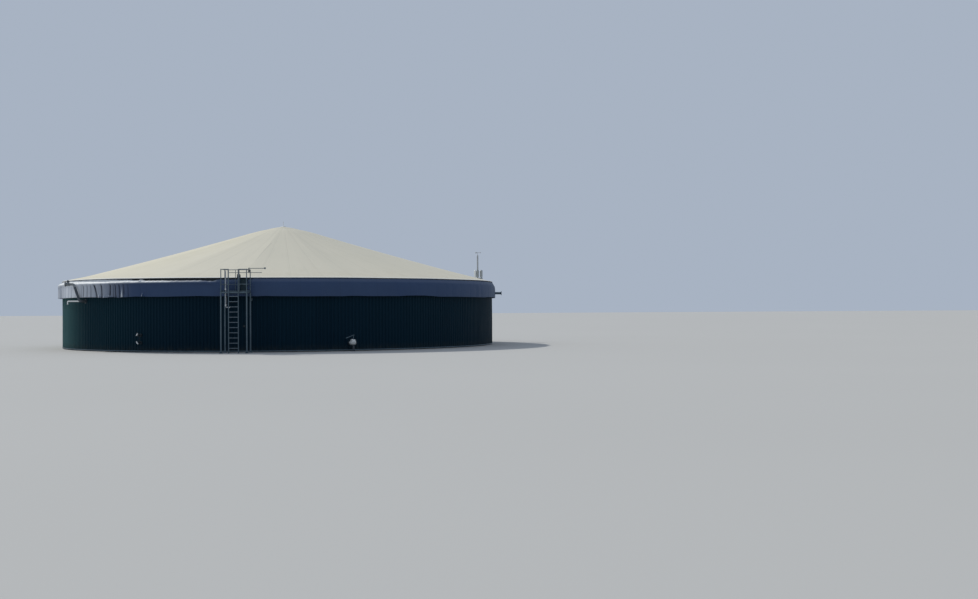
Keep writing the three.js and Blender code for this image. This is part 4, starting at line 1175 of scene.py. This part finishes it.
def make_hatch():
    """The service hatch in the wall behind the platform: frame, bolted lid, hinges and handle."""
    shape = Shape()
    low, high = HATCH_LOW, HATCH_HIGH
    face = low.y
    wall = -RIB_TROUGH_R + 0.02
    border, rim, plate = 0.045, 0.006, 0.014
    front = face + plate
    left, right, bottom, top = low.x + border, high.x - border, low.z + border, high.z - border
    shape.box((low.x, front - 0.002, low.z), (high.x, wall, high.z), 0.004)
    shape.box((low.x, face, low.z), (left, front, high.z), 0.002)
    shape.box((right, face, low.z), (high.x, front, high.z), 0.002)
    shape.box((left, face, low.z), (right, front, bottom), 0.002)
    shape.box((left, face, top), (right, front, high.z), 0.002)
    shape.box((left + rim, face + 0.004, bottom + rim), (right - rim, front, top - rim), 0.002)
    rows = 5
    places = []
    for i in range(rows):
        z = low.z + 0.03 + i * (high.z - low.z - 0.06) / (rows - 1)
        places += [(low.x + border / 2, z), (high.x - border / 2, z)]
    for x in (low.x + 0.12, high.x - 0.12):
        places += [(x, low.z + border / 2), (x, high.z - border / 2)]
    for x, z in places:
        shape.bolt((x, face, z), (0, -1, 0), 0.017)
    # A stiffener crosses the lid a little above its middle.
    middle_z, half = HATCH_BRACE_Z, 0.012
    brace_end = (right - 0.02, face + 0.006, middle_z + half)
    shape.box((left + 0.02, face - 0.008, middle_z - half), brace_end, 0.003)
    hinge_x, hinge_y = left + 0.004, face - 0.004
    for z in (middle_z - 0.17, middle_z + 0.13):
        shape.rod((hinge_x, hinge_y, z - 0.035), (hinge_x, hinge_y, z + 0.035), 0.009, 12, 0.002)
    handle = [Vector((right - 0.035, face + 0.004, middle_z + rise)) for rise in (-0.16, -0.05)]
    out = Vector((0, -0.035, 0))
    shape.pipe([handle[0], handle[0] + out, handle[1] + out, handle[1]], 0.006, 0.012, 10, 5)
    build("service_hatch_lid", shape, HATCH_GREEN, "dark_steel", "service_hatch")


def make_mast():
    """The hoist mast with its hand winch, on a gusseted foot plate."""
    shape = Shape()
    x, y = MAST_X, MAST_Y
    base, foot = DECK_TOP_Z, 0.010
    foot_plate(shape, x, y, base, 0.15, foot, 0.02)
    gussets(shape, x, y, base + foot, MAST, 0.032, 0.08, ((1, 0), (-1, 0), (0, -1)))
    square_bar(shape, x, y, MAST, base + foot, MAST_TOP_Z - 0.004, 0.006)
    square_bar(shape, x, y, MAST + 0.004, MAST_TOP_Z - 0.005, MAST_TOP_Z, 0.001)
    # The winch: a back plate, two cheeks, a drum wound with rope, a gear cover and a crank.
    front = y - MAST / 2
    low, high = WINCH_LOW_Z, WINCH_HIGH_Z
    left, right = -0.058, 0.082
    centre = (low + high) / 2
    axle_y = front - 0.07
    sideways = (1, 0, 0)
    shape.box((left, front - 0.008, low), (right, front, high), 0.002)
    for side in (left, right - 0.008):
        shape.box((side, front - 0.128, low + 0.006), (side + 0.008, front - 0.008, high - 0.006), 0.003)
    drum = [(0, 0.022), (0.006, 0.066), (0.012, 0.066), (0.016, 0.042)]
    drum += [(0.120 - along, radius) for along, radius in reversed(drum)]
    shape.turned((left + 0.010, axle_y, centre), sideways, drum, 28)
    rope = [(0, 0.042), (0.002, 0.0465), (0.007, 0.0465), (0.009, 0.042)]
    for i in range(ROPE_TURNS):
        shape.turned((left + 0.027 + i * 0.0095, axle_y, centre), sideways, rope, 28)
    shape.turned((right, axle_y, centre), sideways, [(0, 0.062), (0.016, 0.062), (0.020, 0.056)], 28)
    crank_x, crank_z = right + 0.024, centre - 0.135
    half = 0.012
    shape.rod((right + 0.018, axle_y, centre), (crank_x + 0.002, axle_y, centre), half, 14)
    crank_top = (crank_x, axle_y + half, centre + half)
    shape.box((crank_x - 0.006, axle_y - half, crank_z - half), crank_top, 0.002)
    shape.rod((crank_x, axle_y, crank_z), (crank_x + 0.06, axle_y, crank_z), half, 14, 0.004)
    build("hoist_mast_steel", shape, DARK_STEEL, "dark_steel", "hoist_mast")


def make_guide_arm():
    """Two level rods that guide the hoist's rope, clamped to the mast and held at the rear right post."""
    shape = Shape()
    y = ROD_Y
    front, back = y - 0.03, y + 0.03
    post_left, post_front = RIGHT_X - RAIL_POST / 2, REAR_Y - RAIL_POST / 2
    shape.rod((ROD_BLOCK_X, y, UPPER_ROD_Z), (UPPER_ROD_END_X, y, UPPER_ROD_Z), 0.017, 16, 0.003)
    shape.rod((LOWER_ROD_START_X, y, LOWER_ROD_Z), (LOWER_ROD_END_X, y, LOWER_ROD_Z), 0.014, 16, 0.003)
    ferrule = [(0, 0.014), (0.002, 0.022), (0.022, 0.022), (0.024, 0.016)]
    shape.turned((LOWER_ROD_END_X - 0.024, y, LOWER_ROD_Z), (1, 0, 0), ferrule, 16)
    shape.turned((LOWER_ROD_START_X + 0.024, y, LOWER_ROD_Z), (-1, 0, 0), ferrule, 16)
    # A clamp of two jaws bolts the lower rod to the mast's face.
    left, right, mast_face = MAST_X - 0.03, MAST_X + 0.03, MAST_Y - MAST / 2
    for jaw_low, jaw_high in ((0.004, 0.030), (-0.030, -0.004)):
        shape.box((left, y - 0.026, LOWER_ROD_Z + jaw_low), (right, mast_face, LOWER_ROD_Z + jaw_high), 0.003)
    for side in (-0.018, 0.018):
        shape.bolt((MAST_X + side, y, LOWER_ROD_Z + 0.030), UP, 0.012)
    # The bracket plate carries both rods, and a block bolts it to the post.
    low, high = LOWER_ROD_Z - 0.028, UPPER_ROD_Z + 0.034
    shape.box((post_left - 0.026, front, low), (post_left, back, high), 0.003)
    shape.box((ROD_BLOCK_X, front, 3.935), (post_left, post_front, 4.05), 0.004)
    for z in (3.96, 4.025):
        shape.bolt((ROD_BLOCK_X, (y + post_front) / 2, z), (-1, 0, 0), 0.02)
        shape.bolt((ROD_BLOCK_X + 0.03, front, z), (0, -1, 0), 0.02)
    groove = [(0, 0.012), (0.002, 0.040), (0.008, 0.050), (0.014, 0.047)]
    wheel = groove + [(0.025, 0.034)] + [(0.05 - along, radius) for along, radius in reversed(groove)]
    shape.turned((UPPER_ROD_END_X, y + 0.025, UPPER_ROD_Z), (0, -1, 0), wheel, 36)
    shape.rod((UPPER_ROD_END_X, y + 0.04, UPPER_ROD_Z), (UPPER_ROD_END_X, y - 0.04, UPPER_ROD_Z), 0.009, 12)
    build("rope_guide_arm_steel", shape, GALVANISED, "galvanised_steel", "rope_guide_arm")


def make_sample_pipe():
    """The pale pipe down the rear left post, with its sleeves, clamp and turned end."""
    shape = Shape()
    low, high = (Vector(corner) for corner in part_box("sample_pipe"))
    x, y = SAMPLE_PIPE_X, SAMPLE_PIPE_Y
    bottom = low.z + SAMPLE_PIPE_R
    shape.pipe([(x, y, high.z), (x, y, bottom), (high.x, y, bottom)], SAMPLE_PIPE_R, 0.055, 20)
    mouth = [(0, 0.026), (0.003, 0.029), (0.026, 0.029), (0.030, 0.024)]
    shape.turned((x, y, high.z - 0.03), UP, mouth, 20)
    band = [(-0.012, 0.026), (-0.010, 0.0285), (0.010, 0.0285), (0.012, 0.026)]
    for z in SAMPLE_BAND_HEIGHTS:
        shape.turned((x, y, z), UP, band, 20)
    strap_y = REAR_Y - RAIL_POST / 2 - END_STRAP
    half = 0.02
    shape.box((LEFT_X, y - half, SAMPLE_CLAMP_Z - half), (x, strap_y, SAMPLE_CLAMP_Z + half), 0.003)
    build("sample_pipe_tube", shape, PALE_GREY, "white_paint", "sample_pipe")
    sleeves = Shape()
    half_sleeve = [(0.034, 0.025), (0.030, SAMPLE_SLEEVE_R), (0.008, SAMPLE_SLEEVE_R), (0.006, 0.028)]
    sleeve = [(-along, radius) for along, radius in half_sleeve] + half_sleeve[::-1]
    for z in (SAMPLE_SLEEVE_Z, SAMPLE_CLAMP_Z):
        sleeves.turned((x, y, z), UP, sleeve, 24)
    cap = [(-0.034, 0.025), (-0.030, 0.031), (-0.002, 0.031), (0, 0.026)]
    sleeves.turned((high.x, y, bottom), (1, 0, 0), cap, 24)
    build("sample_pipe_sleeves", sleeves, CLEAN_WHITE, "white_paint")


def make_gas_riser():
    """The riser leans up past the skirt and turns level; a thinner branch leaves its foot."""
    inside = polar(RISER_FOOT_ANGLE, WALL_R, RISER_OUT_Z)
    foot = polar(RISER_FOOT_ANGLE, RISER_STAND_OFF_R, RISER_OUT_Z)
    top = polar(RISER_TOP_ANGLE, RISER_STAND_OFF_R, RISER_TOP_Z)
    end = Vector((RISER_END_X, top.y, top.z))
    west = Vector((-1, 0, 0))
    seam = foot.lerp(top, 0.78)
    header = Shape()
    header.pipe([seam, top, end], RISER_R, 0.10, 28, 10)
    header.flange(end, west, RISER_R, 1.9 * RISER_R)
    # A short valve body with a flange at each end sits on the level run.
    valve = end.lerp(top, 0.33)
    body = [(0.0, 0.085), (0.045, 0.085), (0.05, 0.105), (0.066, 0.105), (0.07, RISER_R)]
    for side in (-1, 1):
        header.turned(valve, west * side, body, 28)
    build("gas_riser_header", header, WORN_STEEL, "galvanised_steel", "gas_riser")

    actuator = Shape()
    neck = [(0, 0.035), (0.05, 0.035), (0.055, 0.05), (0.075, 0.05), (0.08, 0.03)]
    actuator.turned(valve + UP * 0.07, UP, neck, 20)
    actuator.box(valve + Vector((-0.05, -0.03, 0.145)), valve + Vector((0.05, 0.03, 0.205)), 0.006)
    build("gas_riser_actuator", actuator, DARK_STEEL, "galvanised_steel")

    # The leg gets the darker copy of the steel: painted shade.
    leg = Shape()
    leg.pipe([inside, foot, seam], RISER_R, 0.14, 28, 10)
    band = [(-0.012, RISER_R), (-0.008, RISER_R + 0.008), (0.008, RISER_R + 0.008), (0.012, RISER_R)]
    for share in (0.26, 0.78):
        leg.turned(foot.lerp(top, share), (top - foot).normalized(), band, 28)
    build("gas_riser_leg", leg, SHADED_GALVANISED, "galvanised_steel")

    branch = Shape()
    branch_start = foot.lerp(inside, 0.10)
    corner = Vector((BRANCH_END_X, branch_start.y, branch_start.z))
    mouth = corner - UP * BRANCH_DROP
    branch.pipe([branch_start, corner, mouth], BRANCH_R, 0.06, 20, 8)
    rim = [(-0.02, BRANCH_R), (-0.018, BRANCH_R + 0.007), (0, BRANCH_R + 0.007), (0.001, BRANCH_R - 0.004)]
    branch.turned(mouth, -UP, rim, 24)
    nut = [(0, BRANCH_R), (0.002, BRANCH_R + 0.009), (0.03, BRANCH_R + 0.009), (0.032, BRANCH_R)]
    branch.turned(branch_start + west * 0.12, west, nut, 6)
    build("gas_riser_branch", branch, CLEAN_WHITE, "galvanised_steel")
    seal = Shape()
    collar(seal, RISER_FOOT_ANGLE, RISER_OUT_Z, RISER_R)
    build("gas_riser_collar", seal, DARK_STEEL, "galvanised_steel")


def make_gas_outlet():
    shape = Shape()
    face = Vector((OUTLET_END_X, 0, OUTLET_Z))
    shape.rod((WALL_R, 0, OUTLET_Z), face, OUTLET_R, 32)
    shape.flange(face, (1, 0, 0), OUTLET_R, 1.8 * OUTLET_R)
    build("gas_outlet_pipe", shape, GALVANISED, "galvanised_steel", "gas_outlet")


def relief_at(side, z):
    """A point to the side of the relief pipe's axis, along X."""
    return polar(RELIEF_ANGLE, RELIEF_R, z) + Vector((side, 0, 0))


def make_relief_valve():
    """The pressure relief valve at the back right: its pipe, a crosspiece and three pots."""
    shape = Shape()
    start = polar(RELIEF_ANGLE, WALL_R, RELIEF_OUT_Z)
    shape.pipe([start, relief_at(0, RELIEF_OUT_Z), relief_at(0, RELIEF_BAR_Z)], RELIEF_PIPE_R, 0.16, 28, 10)
    shape.flange(relief_at(0, RELIEF_BAR_Z - 0.12), UP, RELIEF_PIPE_R, 1.75 * RELIEF_PIPE_R)
    collar(shape, RELIEF_ANGLE, RELIEF_OUT_Z, RELIEF_PIPE_R)
    sides = [side for side, _ in RELIEF_POTS]
    ends = [relief_at(min(sides) - 0.08, RELIEF_BAR_Z), relief_at(max(sides) + 0.08, RELIEF_BAR_Z)]
    shape.rod(*ends, 0.06, 24, 0.012)
    right = Vector((1, 0, 0))
    for end, out in zip(ends, (-right, right)):
        shape.turned(end, out, [(-0.02, 0.06), (-0.018, 0.078), (0, 0.078), (0.002, 0.074)], 28)
    build("relief_valve_body", shape, BRIGHT_STEEL, "galvanised_steel", "relief_valve")
    tall = RELIEF_POT_TOP_Z - RELIEF_BAR_Z
    wall, dome = 0.13, tall - 0.03
    for i, (side, radius) in enumerate(RELIEF_POTS):
        neck, rim = 0.55 * radius, radius + 0.004
        profile = [
            (0.04, neck), (wall - 0.015, neck), (wall - 0.012, rim), (wall, rim), (wall + 0.004, radius),
            (dome - 0.07, radius), (dome - 0.066, rim), (dome - 0.03, rim), (dome - 0.026, radius),
            (dome, 0.93 * radius), (tall - 0.008, 0.6 * radius), (tall, 0.2 * radius),
        ]
        pot = Shape()
        pot.turned(relief_at(side, RELIEF_BAR_Z), UP, profile, 32)
        pot.bolt_ring(relief_at(side, RELIEF_BAR_Z + wall - 0.012), -UP, 0.8 * radius, 6, 0.014)
        look = CLEAN_WHITE if i == 0 else BRIGHT_STEEL
        build(f"relief_pot_{i + 1}", pot, look, "galvanised_steel")


def make_vent_mast():
    """The vent mast on the middle pot, with a small vane of two balls on top."""
    shape = Shape()
    side = RELIEF_POTS[1][0]
    foot = relief_at(side, RELIEF_POT_TOP_Z)
    long = VENT_MAST_TOP_Z - RELIEF_POT_TOP_Z
    r = VENT_MAST_R
    shape.turned(foot, UP, [
        (0, r + 0.012), (0.02, r + 0.012), (0.024, r), (0.45, r), (0.454, r + 0.006), (0.48, r + 0.006),
        (0.484, r), (long - 0.02, r), (long, 0.6 * r),
    ], 24)
    shape.rod(foot + UP * (long - 0.02), relief_at(side, VANE_Z + 0.012), 0.012, 12)
    ends = [relief_at(side + ball_side, VANE_Z) for ball_side, _ in VANE_BALLS]
    shape.rod(*ends, 0.012, 12)
    for end, (_, radius) in zip(ends, VANE_BALLS):
        angles = [math.pi * i / 12 for i in range(13)]
        ball = [(-radius * math.cos(angle), radius * math.sin(angle)) for angle in angles]
        shape.turned(end, UP, ball, 24)
    build("vent_mast_tube", shape, PALE_GREY, "white_paint", "vent_mast")


def make_drain_valve():
    """A white valve between two flanges at the drain, on a prop, with a dark lever over it."""
    sideways = wall_axes(DRAIN_ANGLE)[1]
    at = polar(DRAIN_ANGLE, DRAIN_BODY_R, DRAIN_Z)
    turn = Matrix.Translation(at) @ Matrix.Rotation(math.radians(DRAIN_ANGLE), 4, "Z")
    seal = Shape()
    collar(seal, DRAIN_ANGLE, DRAIN_Z, 0.06)
    build("drain_valve_collar", seal, DARK_STEEL, "dark_steel")
    shape = Shape()
    shape.rod(polar(DRAIN_ANGLE, WALL_R, DRAIN_Z), at, 0.06, 28)
    shape.rod(at - sideways * 0.08, at + sideways * 0.15, 0.07, 28)
    for side, out in ((-0.10, -1), (0.165, 1)):
        shape.flange(at + sideways * side, sideways * out, 0.07, 0.108, 0.02, 8)
    shape.box((-0.045, -0.075, -0.095), (0.110, 0.075, 0.140), 0.012, turn)
    shape.box((-0.050, -0.135, 0.03), (0.115, 0.170, 0.165), 0.010, turn)
    shape.box((-0.03, -0.03, 0.16), (0.03, 0.03, 0.185), 0.006, turn)
    for a, b in itertools.product((-0.025, 0.09), (-0.055, 0.055)):
        shape.bolt(turn @ Vector((a, b, 0.165)), UP, 0.014)
    build("drain_valve_body", shape, WHITE_PAINT, "white_paint", "drain_valve")

    support = Shape()
    prop = at + sideways * DRAIN_PROP_SIDE
    plate, thick = 0.08, 0.012
    support.rod((prop.x, prop.y, thick), prop - UP * 0.10, DRAIN_PROP_R, 24)
    low = (DRAIN_PROP_SIDE - plate, -plate, -DRAIN_Z)
    support.box(low, (DRAIN_PROP_SIDE + plate, plate, -DRAIN_Z + thick), 0.002, turn)
    support.turned(at - UP * 0.165 - sideways * 0.01, UP, [(0, 0.03), (0.004, 0.036), (0.08, 0.036)], 6)
    build("drain_valve_prop", support, SHADED_GALVANISED, "galvanised_steel")

    lever = Shape()
    stem = polar(DRAIN_ANGLE, DRAIN_BODY_R, DRAIN_LEVER_Z) + sideways * DRAIN_STEM_SIDE
    lever.rod(Vector((stem.x, stem.y, DRAIN_Z + 0.12)), stem, 0.018, 14)
    lever.turned(stem - UP * 0.020, UP, [(0, 0.036), (0.005, 0.046), (0.032, 0.046), (0.042, 0.032)], 18)
    tip = polar(DRAIN_ANGLE, DRAIN_BODY_R, DRAIN_TIP_Z) + sideways * DRAIN_TIP_SIDE
    lever.rod(stem, tip, 0.018, 14)
    grip = [(-0.11, 0.018), (-0.105, 0.025), (-0.004, 0.025), (0.0, 0.018)]
    lever.turned(tip, (tip - stem).normalized(), grip, 14)
    build("drain_valve_lever", lever, GALVANISED, "dark_steel")


def make_sampling_cocks():
    """Two dark sampling cocks joined by a strap, each with a handle, a white knob and a white lever."""
    shape = Shape()
    knobs = Shape()
    outward, sideways = wall_axes(COCKS_ANGLE)
    body = [(0, 0.04), (0.006, 0.050), (0.05, 0.050), (0.056, 0.036)]
    for z in COCK_HEIGHTS:
        face = polar(COCKS_ANGLE, COCK_FACE_R, z)
        shape.rod(polar(COCKS_ANGLE, WALL_R, z), face - outward * 0.02, 0.030, 24)
        shape.flange(polar(COCKS_ANGLE, COCK_FLANGE_R, z), outward, 0.030, 0.062, 0.014, 4)
        shape.turned(polar(COCKS_ANGLE, COCK_BODY_R, z), outward, body, 24)
        collar(shape, COCKS_ANGLE, z, 0.032, 6)
        stem = polar(COCKS_ANGLE, COCK_STEM_R, z)
        shape.rod(stem, stem + UP * 0.075, 0.009, 12)
        handle = [stem + UP * 0.07, stem + UP * 0.08 - sideways * 0.04, stem + UP * 0.10 - sideways * 0.08]
        shape.pipe(handle, 0.007, 0.02, 10, 4)
        knobs.turned(face, outward, [(-0.030, 0.020), (-0.026, 0.026), (-0.004, 0.026), (0, 0.020)], 24)
    for ends in COCK_LEVERS:
        start, end = (polar(COCKS_ANGLE, COCK_FACE_R, z) + sideways * side for side, z in ends)
        knobs.rod(start, end, 0.026, 16, 0.006)
    for side in (-0.016, 0.016):
        ends = [polar(COCKS_ANGLE, COCK_STRAP_R, z) + sideways * side for z in COCK_HEIGHTS]
        shape.rod(*ends, 0.007, 12)
    build("sampling_cocks_steel", shape, DARK_STEEL, "dark_steel", "sampling_cocks")
    build("sampling_cock_knobs", knobs, WHITE_PAINT, "white_paint")


def make_wall_sensor():
    shape = Shape()
    outward = polar(SENSOR_ANGLE, 1, 0)
    at = polar(SENSOR_ANGLE, RIB_CREST_R, SENSOR_Z)
    rim = [(0.004, 0.062), (0.010, 0.062), (0.014, 0.045)]
    shape.turned(at, outward, [(-0.10, 0.045), (0.0, 0.045)] + rim + [(0.058, 0.045), (0.066, 0.036)], 32)
    shape.bolt_ring(at + outward * 0.010, outward, 0.054, 6, 0.009)
    shape.turned(at + outward * 0.066, outward, [(0, 0.014), (0.008, 0.012)], 6)
    build("wall_sensor_head", shape, DARK_STEEL, "dark_steel", "wall_sensor")


def make_stage():
    """A pale floor, a plain sky-like backdrop and one soft key light."""
    reach = STAGE_REACH
    corners = [(-reach, -reach, 0), (reach, -reach, 0), (reach, reach, 0), (-reach, reach, 0)]
    mesh = bpy.data.meshes.new("stage_floor")
    mesh.from_pydata(corners, [], [(0, 1, 2, 3)])
    look = Look("stage_floor", (0.50, 0.495, 0.48), 0.95, specular=0.1)
    look.tint(look.noise(0.05, 2).span(0.3, 0.7, 0, 0.3), (0.48, 0.475, 0.46))
    look.link(look.paint, look.shader.inputs["Base Color"])
    mesh.materials.append(look.material)
    floor = bpy.data.objects.new("stage_floor", mesh)
    floor.location.z = -0.002
    scene.collection.objects.link(floor)

    world = bpy.data.worlds.new("backdrop")
    world.use_nodes = True
    background = world.node_tree.nodes["Background"]
    background.inputs["Color"].default_value = (*SKY_COLOR, 1)
    background.inputs["Strength"].default_value = SKY_POWER
    scene.world = world

    sun = bpy.data.lights.new("key_light", "SUN")
    sun.energy = SUN_POWER
    sun.angle = math.radians(SUN_WIDTH)
    sun.color = SUN_COLOR
    lamp = bpy.data.objects.new("key_light", sun)
    lamp.rotation_euler = Vector(SUN_DIRECTION).to_track_quat("Z", "Y").to_euler()
    scene.collection.objects.link(lamp)
    scene.view_settings.view_transform = "Standard"


def make_camera():
    data = bpy.data.cameras.new("camera")
    data.sensor_width = 36
    data.lens = data.sensor_width * FOCAL_PIXELS / FRAME_WIDTH
    data.clip_end = 2000
    camera = bpy.data.objects.new("camera", data)
    scene.collection.objects.link(camera)
    pitch = math.atan((HORIZON_PIXEL - FRAME_HEIGHT / 2) / FOCAL_PIXELS)
    level = Matrix.Rotation(math.pi / 2 + pitch, 4, "X")
    roll = Matrix.Rotation(-CAMERA_ROLL, 4, "Z")
    camera.matrix_world = Matrix.Translation(CAMERA_PLACE) @ level @ roll
    scene.camera = camera


make_camera()
make_stage()
dress_frame()
make_rim_rail()
make_roof()
make_apex()
make_skirt()
make_cladding()
make_cladding_trim()
make_posts()
make_deck()
make_rails()
make_ladder()
make_hatch()
make_mast()
make_guide_arm()
make_sample_pipe()
make_gas_riser()
make_gas_outlet()
make_relief_valve()
make_vent_mast()
make_drain_valve()
make_sampling_cocks()
make_wall_sensor()
